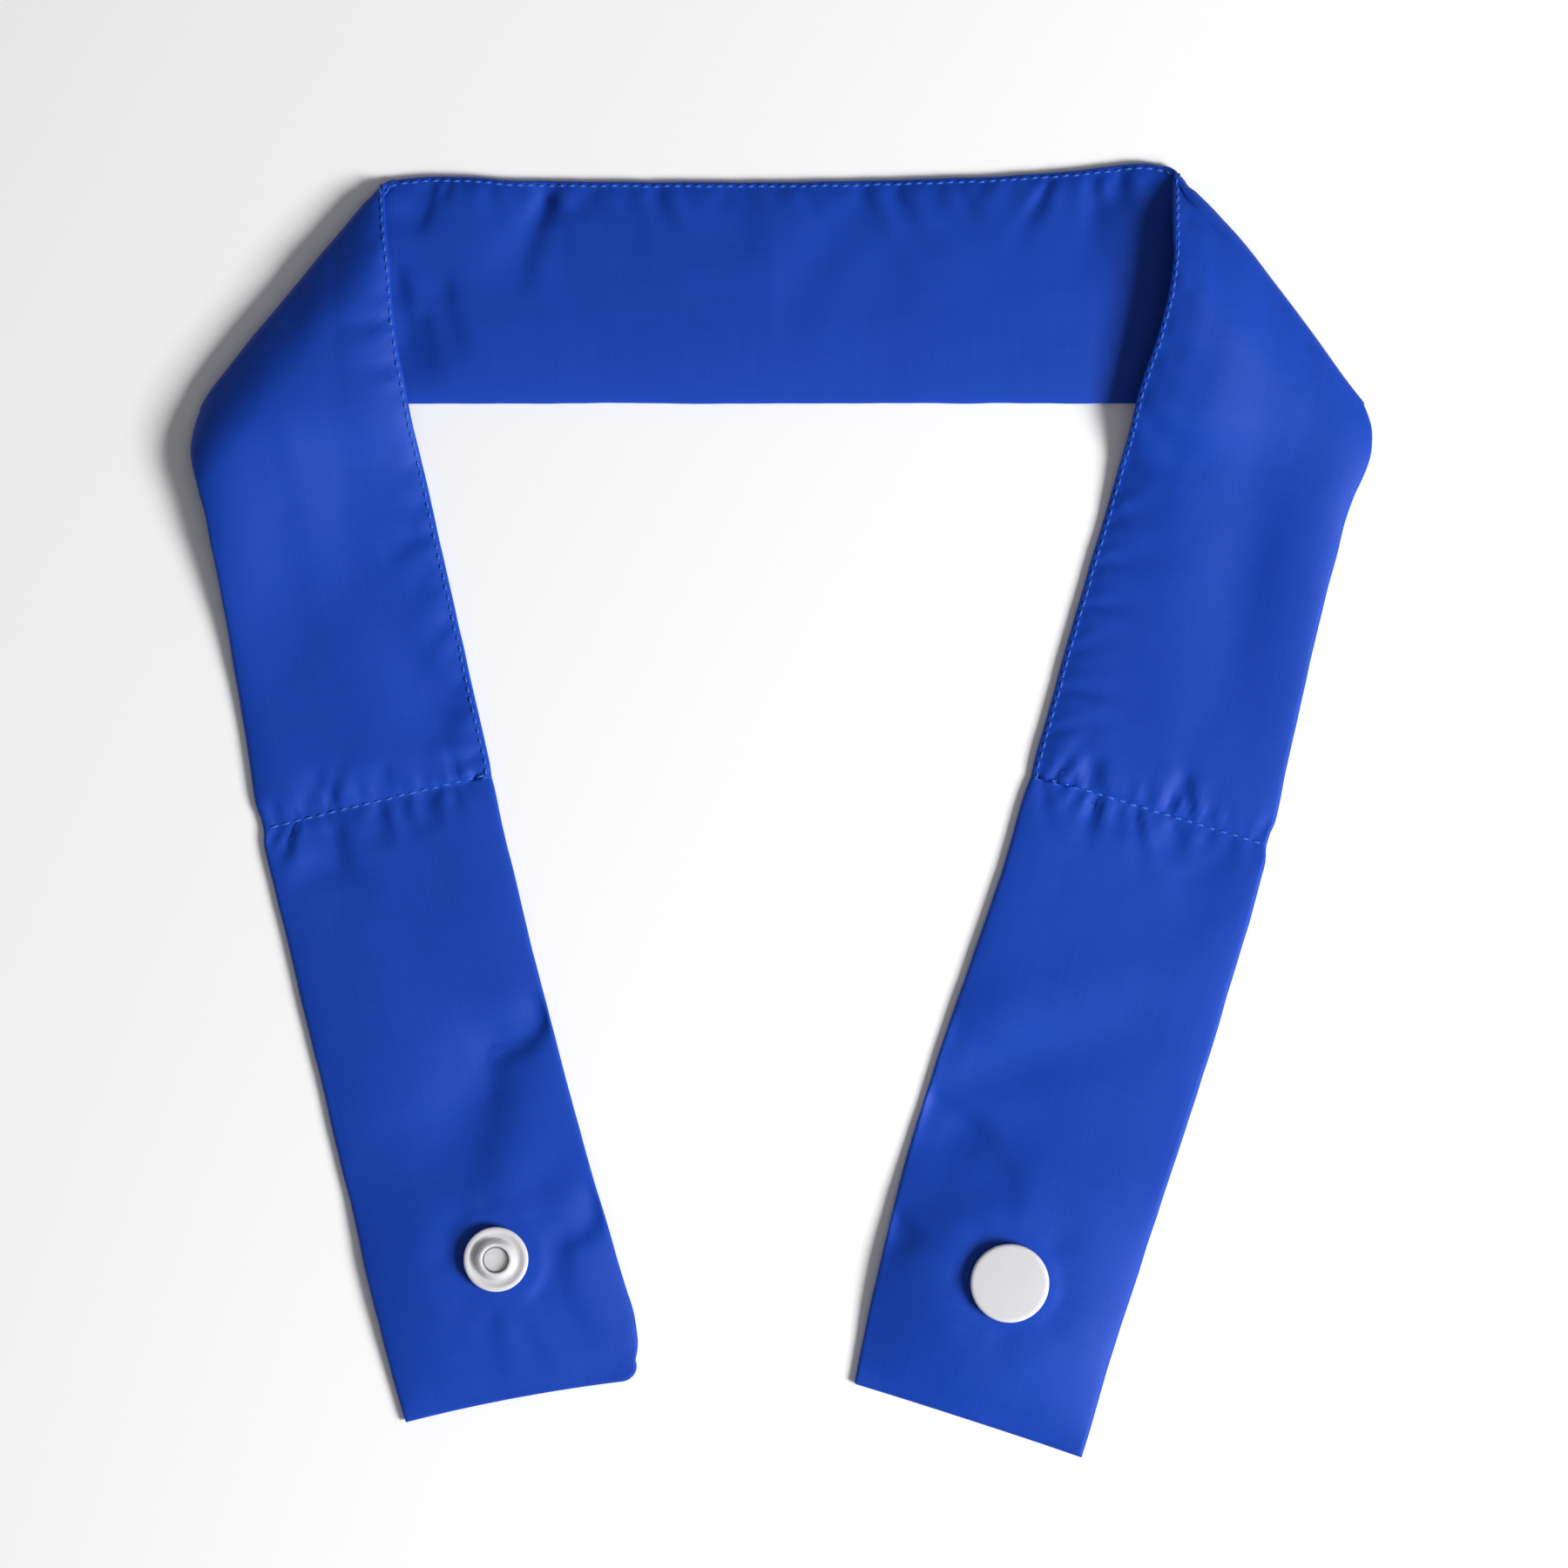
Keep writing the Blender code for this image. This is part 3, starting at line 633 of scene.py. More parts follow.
RIGHT_WRINKLES = (
    Wrinkle(BACK, 0.16, 0.43, 0.24, -0.02, 0.02, 0.060, -0.12),
    Wrinkle(BACK, 0.50, 0.46, 0.525, 0.33, 0.00, 0.036, -0.09),
    Wrinkle(BACK, 0.67, 0.49, 0.695, 0.33, 0.00, 0.036, -0.12),
    Wrinkle(BACK, 0.34, 0.46, 0.37, 0.24, 0.01, 0.060, -0.05),
    Wrinkle(ARM, 0.02, 0.33, 0.84, 0.40, -0.05, 0.100, -0.04),
    Wrinkle(ARM, 0.36, -0.10, 0.92, -0.06, -0.06, 0.110, -0.09),
    Wrinkle(ARM, 0.36, 0.49, 0.405, 0.38, 0.00, 0.034, -0.09),
    Wrinkle(ARM, 0.93, -0.10, 0.99, -0.11, 0.00, 0.030, -0.13),
    Wrinkle(ARM, 0.93, 0.24, 0.99, 0.26, 0.00, 0.028, -0.11),
    Wrinkle(TAB, 0.03, -0.34, 0.09, -0.16, 0.00, 0.070, -0.14),
    Wrinkle(TAB, 0.01, 0.22, 0.05, 0.21, 0.00, 0.028, -0.13),
    Wrinkle(TAB, 0.01, 0.08, 0.05, 0.07, 0.00, 0.028, -0.13),
    Wrinkle(TAB, 0.01, -0.13, 0.06, -0.14, 0.00, 0.028, -0.13),
    Wrinkle(TAB, 0.53, 0.56, 0.57, 0.26, -0.02, 0.050, -0.24),
    Wrinkle(TAB, 0.56, 0.30, 0.66, 0.06, -0.02, 0.070, -0.18),
    Wrinkle(TAB, 0.42, 0.52, 0.50, 0.04, -0.03, 0.100, -0.12),
    Wrinkle(TAB, 0.72, 0.54, 0.755, 0.38, 0.00, 0.040, -0.18),
    Wrinkle(TAB, 0.64, -0.08, 0.78, -0.42, 0.02, 0.100, -0.12),
)


@dataclass
class Pucker:
    """One small gather that runs off a row of stitches."""

    place: float
    slant: float
    breadth: float
    reach: float
    height: float

    def height_at(self, run: float, away: float) -> float:
        """What it adds at a distance along the stitches and away from them."""
        if away > self.reach * 2.2 or abs(run - self.place) > self.breadth * 4 + away:
            return 0.0
        beside = (run - self.place - away * self.slant) / (self.breadth * (1 + away / self.reach))
        if abs(beside) > 3:
            return 0.0
        near = 0.10 + 0.90 * ease(away / 0.0014)
        fall = near * math.exp(-((away / self.reach) ** 1.6))
        return self.height * fall * (1 - 2 * beside * beside) * math.exp(-beside * beside)


def puckers(seed: int, length: float, height: float, reach: float, apart: float) -> list[Pucker]:
    """Puckers scattered along a row of stitches.

    Args:
        seed: Where the scatter starts.
        length: How long the row is.
        height: How deep the deepest are.
        reach: How far they run off the stitches.
        apart: How far apart they are on average.

    Returns:
        The puckers, by their place along the row.
    """
    dice = random.Random(seed)
    made: list[Pucker] = []
    place = -0.002
    while place < length:
        strong = dice.random() ** 1.6
        made.append(
            Pucker(
                place=place,
                slant=dice.uniform(-0.55, 0.55),
                breadth=apart * dice.uniform(0.17, 0.34),
                reach=reach * dice.uniform(0.45, 1.25) * (0.6 + 0.6 * strong),
                height=-height * (0.25 + 0.75 * strong),
            )
        )
        place += apart * dice.uniform(0.5, 1.5)
    return made


@dataclass
class Band:
    """The cloth band, its sizes, and the fine surface built from them."""

    width: float = 0.0370
    fold_reach: float = 0.0783
    pocket_thickness: float = 0.0019
    tab_thickness: float = 0.0015
    edge_thickness: float = 0.0010
    seam_thickness: float = 0.0009
    edge_roll: float = 0.00055
    seam_ease: float = 0.0060
    layer_gap: float = 0.0005
    drop_length: float = 0.0100
    held_corner: int = 12
    arch: float = 0.0010
    snap_inset: float = 0.0229
    cap_diameter: float = 0.0124
    pad_thickness: float = 0.0012
    pad_margin: float = 0.0008
    pad_spread: float = 0.0200
    post_radius: float = 0.0011
    stitch_inset: float = 0.0008
    crease_depth: float = 0.0034
    row_step: float = 0.00085
    fan_length: float = 0.0130
    end_ease: float = 0.0160
    fan_rows: int = 34
    bend_rows: int = 16
    columns: int = 44
    finish: Finish = WovenCloth("royal blue cloth", "cloth", (0.0070, 0.0550, 0.42), 0.56)

    def __post_init__(self) -> None:
        """Makes the two halves, the columns and the scattered puckers."""
        self.left = Half(
            "left",
            -1,
            11,
            arm_length=0.0815,
            arm_lean=math.radians(10.5),
            tab_length=0.0974,
            tab_lean=math.radians(13.7),
            end_skew=math.radians(3.4),
            end_bow=0.0007,
            end_corner=0.0028,
            fold_height=0.0043,
            fold_rise=0.55,
            settle=0.0300,
            swell=0.0028,
            swell_rise=0.0078,
            edge_lift=0.0004,
            slant=0.0027,
            snap_offset=0.0010,
            snap_lift=0.0019,
            outline=LEFT_OUTLINE,
            crease=LEFT_CREASE,
            dents=LEFT_DENTS,
            wrinkles=LEFT_WRINKLES,
        )
        self.right = Half(
            "right",
            1,
            23,
            arm_length=0.0840,
            arm_lean=math.radians(13.3),
            tab_length=0.1006,
            tab_lean=math.radians(16.9),
            end_skew=math.radians(-1.1),
            end_bow=0.0002,
            end_corner=0.0004,
            fold_height=0.0048,
            fold_rise=0.0,
            settle=0.0350,
            swell=0.0008,
            swell_rise=0.0085,
            edge_lift=0.0056,
            slant=0.0024,
            snap_offset=0.0004,
            snap_lift=0.0029,
            outline=RIGHT_OUTLINE,
            crease=RIGHT_CREASE,
            dents=RIGHT_DENTS,
            wrinkles=RIGHT_WRINKLES,
        )
        edge = [0.0, 0.03, 0.12, 0.28, 0.52, 0.80]
        near = [share * self.edge_roll / self.width for share in edge]
        seam = self.stitch_inset / self.width
        inner = np.linspace(seam, 1 - seam, self.columns)
        self.shares = [*near, *inner, *(1 - share for share in reversed(near))]
        self.seam_column = len(near) + self.columns - 1
        self.first_seam_column = len(near)
        self.shifts = {}
        for half in (self.left, self.right):
            for portion in (BACK, ARM):
                made = [self.crease_shift(half, portion, across) for across in self.shares]
                self.shifts[half.name, portion] = made
        self.edge_puckers: dict[tuple[str, Layer], list[Pucker]] = {}
        self.seam_puckers: dict[tuple[str, Layer, Portion], list[Pucker]] = {}
        for half in (self.left, self.right):
            for layer in Layer:
                seed = half.seed * 7 + layer.value
                length = self.fold_reach + half.arm_length
                self.edge_puckers[half.name, layer] = puckers(seed, length, 0.00062, 0.0056, 0.0052)
                for portion in (ARM, TAB):
                    seed += 100
                    made = puckers(seed, self.width, 0.00105, 0.0046, 0.0030)
                    self.seam_puckers[half.name, layer, portion] = made

    # Plan

    def stretch(self, half: Half, portion: Portion) -> Stretch:
        """The straight stretch that a portion follows in plan."""
        if portion is BACK:
            return Stretch(Vector((0, 0)), Vector((half.sign, 0)), Vector((0, 1)))
        if portion is ARM:
            return self.leaning(half, Vector((half.sign * self.fold_reach, 0)), half.arm_lean)
        foot = self.stretch(half, ARM).at(half.arm_length, 0)
        return self.leaning(half, foot, half.tab_lean)

    def leaning(self, half: Half, origin: Vector, lean: float) -> Stretch:
        """A stretch that runs down from origin and leans inward."""
        run = Vector((-half.sign * math.sin(lean), -math.cos(lean)))
        inward = Vector((-half.sign * math.cos(lean), math.sin(lean)))
        return Stretch(origin, run, inward)

    def length_of(self, half: Half, portion: Portion) -> float:
        """How long a portion's centreline is."""
        return {BACK: self.fold_reach, ARM: half.arm_length, TAB: half.tab_length}[portion]

    def edge_share(self, half: Half, portion: Portion, along: float, edge: Edge) -> float:
        """How far an edge lies from the centreline at a share along a portion."""
        rows = [row for row in half.outline if row.portion is portion]
        return looked_up(rows, along, edge.value)

    def edge_point(self, half: Half, portion: Portion, along: float, edge: Edge) -> Vector:
        """The plan position of an edge at a distance along a portion."""
        share = along / self.length_of(half, portion)
        across = self.width * self.edge_share(half, portion, share, edge)
        side = 1 if edge is Edge.STITCHED else -1
        return self.stretch(half, portion).at(along, side * across)

    def fold_angle(self, half: Half) -> float:
        """The angle between the crease and the band, which sets the arm's lean."""
        return math.pi / 4 + half.arm_lean / 2

    def overhang(self, half: Half) -> float:
        """How far along the band the crease's ends lie from its middle."""
        return self.width / 2 / math.tan(self.fold_angle(half))

    def fold_outward(self, half: Half) -> Vector:
        """The direction in plan from the crease away from the cloth."""
        angle = self.fold_angle(half)
        return Vector((half.sign * math.sin(angle), math.cos(angle)))

    def thickness_across(self, full: float, across: float) -> float:
        """How thick the undented band is at a share of its width from the folded edge."""
        return mix(self.edge_thickness, full, 1 - (2 * across - 1) ** 6)

    def fold_radius(self, half: Half, across: float) -> float:
        """The radius that the band's middle bends to, at a share of the way along the crease."""
        height = half.fold_height * looked_up(half.crease, across, "height")
        thickness = self.thickness_across(self.pocket_thickness, across)
        return max(height - thickness, thickness + self.layer_gap) / 2

    def crease_axis(self, half: Half, across: float) -> Vector:
        """The point in plan that the cloth bends about, at a share of the way along the crease."""
        angle = self.fold_angle(half)
        run = Vector((half.sign * math.cos(angle), -math.sin(angle)))
        folded = self.edge_share(half, BACK, 1.0, Edge.FOLDED)
        stitched = self.edge_share(half, BACK, 1.0, Edge.STITCHED)
        reach = self.width * mix(folded, -stitched, across) / math.sin(angle)
        inset = self.width * looked_up(half.crease, across, "inset")
        inset += self.fold_radius(half, across)
        inset += self.thickness_across(self.pocket_thickness, across) / 2
        middle = self.stretch(half, BACK).at(self.fold_reach, 0)
        return middle + run * reach - self.fold_outward(half) * inset

    def crease_slip(self, half: Half, across: float, turn: float) -> Vector:
        """How far the cloth slips down along the crease by the time it has turned so far."""
        angle = self.fold_angle(half)
        run = Vector((half.sign * math.cos(angle), -math.sin(angle)))
        return run * half.slant * across**3 * (1 - math.cos(turn)) / 2

    def crease_bulge(self, half: Half, across: float, turn: float) -> Vector:
        """How far the turning cloth lies outside the axis. By the folded edge it stays out."""
        held = (1 - across) ** self.held_corner if turn > math.pi / 2 else 0.0
        reach = self.fold_radius(half, across) * mix(math.sin(turn), 1.0, held)
        return self.fold_outward(half) * reach

    def crease_shift(self, half: Half, portion: Portion, across: float) -> Vector:
        """How far the crease's cloth lies from where the flat band's edges meet the crease."""
        overhang = self.overhang(half)
        reach = self.fold_reach if portion is BACK else 0.0
        folded = self.edge_point(half, portion, reach + overhang, Edge.FOLDED)
        stitched = self.edge_point(half, portion, reach - overhang, Edge.STITCHED)
        turn = 0.0 if portion is BACK else math.pi - half.fold_rise
        moved = self.crease_slip(half, across, turn) + self.crease_bulge(half, across, turn)
        return self.crease_axis(half, across) + moved - folded.lerp(stitched, across)

    def snap_centre(self, half: Half) -> Vector:
        """The middle of the half's snap in plan."""
        place = half.tab_length - self.snap_inset
        return self.stretch(half, TAB).at(place, half.snap_offset)

    def pad_share(self, half: Half, point: Vector, spread: float) -> float:
        """1 where the snap clamps the cloth flat, falling to 0 over a distance round it."""
        away = (point - self.snap_centre(half)).length
        return 1 - ease((away - self.cap_diameter / 2 - self.pad_margin) / spread)

    # Thickness and height

    def dent_height(self, half: Half, portion: Portion, along: float, across: float) -> float:
        """What the swellings and hollows add, across being measured from the centreline."""
        total = 0.0
        for dent in half.dents:
            if dent.portion is not portion:
                continue
            ahead = along - dent.along * self.length_of(half, portion)
            beside = across - dent.across * self.width
            turn = math.radians(dent.turn)
            lengthwise = ahead * math.cos(turn) + beside * math.sin(turn)
            sidewise = beside * math.cos(turn) - ahead * math.sin(turn)
            reach = (lengthwise / (dent.length * self.width)) ** 2
            reach += (sidewise / (dent.breadth * self.width)) ** 2
            total += dent.height * self.pocket_thickness * math.exp(-reach)
        return total

    def rounding(self, distance: float) -> float:
        """How the thickness closes to nothing within the roll of an edge."""
        share = 1 - min(1.0, max(0.0, distance / self.edge_roll))
        return math.sqrt(max(0.0, 1 - share * share))

    def thickness_at(
        self, half: Half, portion: Portion, along: float, across: float, point: Vector
    ) -> float:
        """How thick the two layers are at a place.

        Args:
            half: The half of the wrap.
            portion: The portion.
            along: The distance along the portion.
            across: The share of the width from the folded edge.
            point: The place in plan.

        Returns:
            The thickness.
        """
        full = self.tab_thickness if portion is TAB else self.pocket_thickness
        to_seam = {BACK: self.width, ARM: abs(half.arm_length - along), TAB: abs(along)}[portion]
        end = max(0.0, half.tab_length - along) if portion is TAB else self.width
        body = self.thickness_across(full, across)
        crown = 1 - (2 * across - 1) ** 6
        body += self.dent_height(half, portion, along, (across - 0.5) * self.width) * crown
        body = mix(self.seam_thickness, body, math.sqrt(ease(to_seam / self.seam_ease)))
        body = mix(self.edge_thickness, body, ease(end / self.seam_ease))
        if portion is TAB:
            body = mix(body, self.pad_thickness, self.pad_share(half, point, self.seam_ease))
        return max(body, self.seam_thickness)

    def covered_height(self, half: Half, point: Vector) -> float:
        """How high the cloth lies on the back section here, dropping to the floor past it."""
        edge = -self.width * self.edge_share(half, BACK, 1.0, Edge.FOLDED)
        lies = self.pocket_thickness + self.layer_gap
        return lies * (1 - ease((edge - point.y) / self.drop_length))

    def arm_rest(self, half: Half, point: Vector, across: float) -> float:
        """The height of an arm's underside, from the top of the fold down to what it lies on."""
        inside = (self.crease_axis(half, across) - point).dot(self.fold_outward(half))
        inside += self.fold_radius(half, across) * math.sin(half.fold_rise)
        settled = ease(inside / half.settle)
        top = self.fold_radius(half, across) * (1 + math.cos(half.fold_rise))
        rest = mix(top, self.covered_height(half, point), settled)
        past = (inside - half.swell_rise) / half.settle
        rising = min(1.0, max(0.0, inside / half.swell_rise))
        swollen = math.sin(math.pi / 2 * rising) * (1 - ease(past))
        return rest + (half.swell + half.edge_lift * across * across) * swollen

    # Relief of the cloth

    def wrinkle_height(self, half: Half, portion: Portion, along: float, across: float) -> float:
        """What the long creases add at a place, in metres, steep on one side and soft on the other.

        Args:
            half: The half of the wrap.
            portion: The portion.
            along: The distance along the portion.
            across: The distance from its centreline.

        Returns:
            The height.
        """
        total = 0.0
        length = self.length_of(half, portion)
        steep = half.sign if portion is BACK else -half.sign
        for wrinkle in half.wrinkles:
            if wrinkle.portion is not portion:
                continue
            ahead = (wrinkle.to_along - wrinkle.along) * length
            beside = (wrinkle.to_across - wrinkle.across) * self.width
            size = math.hypot(ahead, beside)
            step = (along - wrinkle.along * length, across - wrinkle.across * self.width)
            share = (step[0] * ahead + step[1] * beside) / (size * size)
            if not -0.35 < share < 1.35:
                continue
            away = (step[1] * ahead - step[0] * beside) / size
            held = min(1.0, max(0.0, share))
            away -= wrinkle.bow * self.width * 4 * held * (1 - held)
            breadth = wrinkle.breadth * self.width * (0.8 + 0.5 * held)
            reach = away / breadth
            if abs(reach) > 6:
                continue
            taper = ease((share + 0.30) / 0.45) * ease((1.30 - share) / 0.65)
            if reach * steep < 0:
                reach /= 2.6
            total += self.crease_depth * wrinkle.height * taper * math.exp(-reach * reach)
        return total

    def wave(self, place: Vector, layer: Layer, sizes: Sequence[float]) -> float:
        """Smooth noise from -1 to 1 whose waves have these lengths along and across the strip."""
        lift = 3.7 * layer.value
        return noise.noise(Vector((place.x / sizes[0], place.y / sizes[1], lift)))

    def relief(
        self, half: Half, portion: Portion, layer: Layer, place: Vector, across: float, along: float
    ) -> float:
        """How far one layer of cloth stands out of its smooth form.

        Args:
            half: The half of the wrap.
            portion: The portion.
            layer: Which layer.
            place: The place on the unfolded strip, along and across it.
            across: The share of the width from the folded edge.
            along: The distance along the portion.

        Returns:
            The height, in metres.
        """
        local = (across - 0.5) * self.width
        from_stitched = (1 - across) * self.width
        from_folded = across * self.width
        seen = (portion is BACK) == (layer is Layer.FACE)
        run = abs(place.x)
        total = 0.0
        if seen:
            total += self.wrinkle_height(half, portion, along, local)
        if portion is BACK and seen:
            held = ease((self.fold_reach - along) / 0.030)
            total += self.arch * (1 - (2 * across - 1) ** 2) * held
        total += 0.00016 * self.wave(place, layer, (0.030, 0.011))
        total += 0.00010 * self.wave(place + Vector((5, 9)), layer, (0.012, 0.007))
        total += 0.00003 * self.wave(place + Vector((8, 2)), layer, (0.0042, 0.0036))
        gather = 0.0
        if portion is not TAB:
            away = abs(from_stitched - self.stitch_inset)
            for pucker in self.edge_puckers[half.name, layer]:
                gather += pucker.height_at(run, away)
            groove = math.exp(-((away / 0.0009) ** 2))
            total -= 0.00009 * groove
        if portion is not BACK:
            away = half.arm_length - along if portion is ARM else along
            away = abs(away)
            for pucker in self.seam_puckers[half.name, layer, portion]:
                gather += pucker.height_at(from_folded, away)
            if portion is ARM:
                rib = math.exp(-(((away - 0.0022) / 0.0016) ** 2))
                total += 0.00010 * rib
        end = half.tab_length - along if portion is TAB else self.width
        edge = min(from_stitched, from_folded, max(0.0, end))
        return (total + gather) * ease(edge / 0.0016 + 0.12)

    def radial(self, half: Half, point: Vector, layer: Layer) -> float:
        """The small folds that the snap's clamping sends out through the cloth round it."""
        offset = point - self.snap_centre(half)
        away = offset.length
        rim = self.cap_diameter / 2
        if away < rim * 0.9 or away > rim * 3.2:
            return 0.0
        turn = math.atan2(offset.y, offset.x) * half.sign
        ripple = math.sin(5 * turn + 1.2) + 0.7 * math.sin(8 * turn + layer.value)
        ripple += 0.5 * math.sin(13 * turn + 2.0)
        return 0.00007 * ripple * ease((away - rim * 0.9) / 0.002) * (1 - ease((away - rim) / 0.012))

    # Rows of the grid

    def edge_wave(self, half: Half, portion: Portion, along: float, edge: Edge) -> float:
        """How far an edge's small waves and the pinch of the cross seam draw it in."""
        lift = half.sign * (2.3 if edge is Edge.FOLDED else 5.1)
        wave = noise.noise(Vector((along / 0.011, portion.value * 7.0, lift)))
        wave += 0.5 * noise.noise(Vector((along / 0.0045, portion.value * 7.0 + 3, lift)))
        held = self.length_of(half, portion)
        quiet = ease(abs(along) / 0.004) * ease(abs(held - along) / 0.004)
        away = {BACK: 1.0, ARM: held - along, TAB: along}[portion]
        pinch = math.exp(-((away / 0.0017) ** 2))
        pinch *= 0.00055 if edge is Edge.FOLDED else 0.00020
        return 0.00013 * wave * quiet + pinch

    def end_inset(self, half: Half, across: float) -> float:
        """How far the tab's end falls short of its length, with its bow and its round corner."""
        corner = half.end_corner
        past = max(0.0, corner - (1 - across) * self.width)
        bow = half.end_bow * 4 * across * (1 - across)
        return bow + corner - math.sqrt(corner * corner - past * past)

    def flat_row(
        self,
        half: Half,
        portion: Portion,
        stitched: float,
        folded: float,
        bow: float = 0.0,
        trim: float = 0.0,
    ) -> list[tuple]:
        """A row of the grid from the folded to the stitched edge.

        Args:
            half: The half of the wrap.
            portion: The portion.
            stitched: How far along the row's stitched end lies.
            folded: How far along its folded end lies.
            bow: The share of the crease's shift that the row takes part in.
            trim: The share of the inset of the tab's end that it takes part in.

        Returns:
            For each point its place, thickness, strip place, portion, along and across.
        """
        stretch = self.stretch(half, portion)
        near = self.edge_point(half, portion, folded, Edge.FOLDED)
        near += stretch.inward * self.edge_wave(half, portion, folded, Edge.FOLDED)
        far = self.edge_point(half, portion, stitched, Edge.STITCHED)
        far -= stretch.inward * self.edge_wave(half, portion, stitched, Edge.STITCHED)
        start = {BACK: 0.0, ARM: self.fold_reach, TAB: self.fold_reach + half.arm_length}[portion]
        row = []
        shifts = self.shifts[half.name, portion] if bow else ()
        for c, across in enumerate(self.shares):
            point = near.lerp(far, across)
            if bow:
                point = point + shifts[c] * bow
            if trim:
                point = point - stretch.run * self.end_inset(half, across) * trim
            along, beside = stretch.read(point)
            if portion is TAB:
                along = mix(folded, stitched, across)
            thickness = self.thickness_at(half, portion, along, across, point)
            rest = 0.0
            if portion is ARM:
                rest = self.arm_rest(half, point, across)
            elif portion is TAB:
                rest = half.snap_lift * self.pad_share(half, point, self.pad_spread)
            strip = Vector((half.sign * (start + along), beside))
            place = Vector((point.x, point.y, rest + thickness / 2))
            row.append((place, thickness, strip, half, portion, along, across))
        return row

    def back_rows(self, half: Half) -> list[list[tuple]]:
        """The back section, its last rows fanning out until they lie along the crease."""
        overhang = self.overhang(half)
        fan_start = self.fold_reach - overhang - self.fan_length
        steps = round(fan_start / self.row_step)
        rows = []
        for i in range(steps):
            along = fan_start * i / steps
            rows.append(self.flat_row(half, BACK, along, along))
        for i in range(self.fan_rows):
            share = i / self.fan_rows
            stitched = mix(fan_start, self.fold_reach - overhang, share)
            folded = mix(fan_start, self.fold_reach + overhang, share)
            rows.append(self.flat_row(half, BACK, stitched, folded, share * share))
        return rows

    def bend_rows_of(self, half: Half) -> list[list[tuple]]:
        """The fold itself, a half turn about the crease's axis."""
        rows = []
        back, arm = self.stretch(half, BACK), self.stretch(half, ARM)
        for i in range(self.bend_rows + 1):
            turn = (math.pi - half.fold_rise) * i / self.bend_rows
            row = []
            for across in self.shares:
                axis = self.crease_axis(half, across)
                radius = self.fold_radius(half, across)
                point = axis + self.crease_bulge(half, across, turn)
                point += self.crease_slip(half, across, turn)
                thickness = self.thickness_at(half, BACK, self.fold_reach, across, axis)
                height = thickness / 2 + radius * (1 - math.cos(turn))
                before, beside = back.read(axis)
                settled = axis + self.crease_slip(half, across, math.pi - half.fold_rise)
                settled += self.crease_bulge(half, across, math.pi - half.fold_rise)
                after, beside_after = arm.read(settled)
                share = i / self.bend_rows
                along = mix(before, self.fold_reach + after, share)
                strip = Vector((half.sign * along, mix(beside, beside_after, share)))
                place = Vector((point.x, point.y, height))
                portion = BACK if share < 0.5 else ARM
                own = along if portion is BACK else along - self.fold_reach
                row.append((place, thickness, strip, half, portion, own, across))
            rows.append(row)
        return rows

    def arm_rows(self, half: Half) -> list[list[tuple]]:
        """The arm, its first rows fanning back until they lie square across the band."""
        overhang = self.overhang(half)
        fan_end = overhang + self.fan_length
        rows = []
        for i in range(1, self.fan_rows + 1):
            share = i / self.fan_rows
            stitched = mix(-overhang, fan_end, share)
            folded = mix(overhang, fan_end, share)
            rows.append(self.flat_row(half, ARM, stitched, folded, (1 - share) ** 2))
        steps = round((half.arm_length - fan_end) / self.row_step)
        for i in range(1, steps):
            along = mix(fan_end, half.arm_length, i / steps)
            rows.append(self.flat_row(half, ARM, along, along))
        return rows

    def tab_rows(self, half: Half) -> list[list[tuple]]:
        """The tab, from the cross seam to its end, which is cut slightly askew."""
        steps = round(half.tab_length / self.row_step)
        places = [half.tab_length * i / steps for i in range(steps)]
        last = [half.tab_length - self.edge_roll * share for share in (0.8, 0.52, 0.28, 0.12, 0.03)]
        rows = []
        for along in [*places, *last, half.tab_length]:
            slant = math.tan(half.end_skew) * self.width / 2
            skew = slant * ease(along / half.tab_length)
            trim = ease(1 - (half.tab_length - along) / self.end_ease)
            rows.append(self.flat_row(half, TAB, along + skew, along - skew, trim=trim))
        return rows

    def half_rows(self, half: Half) -> list[list[tuple]]:
        """All rows of one half of the wrap."""
        back, bend = self.back_rows(half), self.bend_rows_of(half)
        return back + bend + self.arm_rows(half) + self.tab_rows(half)

    # The mesh

    def end_distance(self, cell: tuple, row: int, rows: int) -> float:
        """How far a point lies from the nearest of the band's four edges."""
        _, _, _, half, portion, _, across = cell
        distance = min(across, 1 - across) * self.width
        if portion is TAB:
            steps = min(row, rows - 1 - row)
            last = (0.0, 0.03, 0.12, 0.28, 0.52, 0.80)
            if steps < len(last):
                distance = min(distance, last[steps] * self.edge_roll)
        return distance

    def surfaces(self, offset: Vector) -> tuple[np.ndarray, np.ndarray, np.ndarray, list]:
        """The two layers' points.

        Args:
            offset: What moves the plan into the frame.

        Returns:
            The face's points, the lining's, the grid's normals, and the grid's cells.
        """
        cells = self.half_rows(self.left)[:0:-1] + self.half_rows(self.right)
        middle = np.array([[cell[0] for cell in row] for row in cells])
        middle[:, :, 0] += offset.x
        middle[:, :, 1] += offset.y
        along, across = np.gradient(middle, axis=0), np.gradient(middle, axis=1)
        normals = np.cross(along, across)
        normals /= np.linalg.norm(normals, axis=2, keepdims=True) + 1e-12
        layers = {}
        for layer in Layer:
            heights = np.zeros(middle.shape[:2])
            for r, row in enumerate(cells):
                for c, cell in enumerate(row):
                    place, thickness, strip, half, portion, own, share = cell
                    closing = self.rounding(self.end_distance(cell, r, len(cells)))
                    lift = self.relief(half, portion, layer, strip, share, own)
                    if portion is TAB:
                        lift += self.radial(half, place.xy, layer)
                        lift *= 1 - self.pad_share(half, place.xy, 0.0015)
                    heights[r, c] = (thickness / 2 + lift) * closing
            layers[layer] = middle + normals * heights[:, :, None] * layer.value
        return layers[Layer.FACE], layers[Layer.LINING], normals, cells

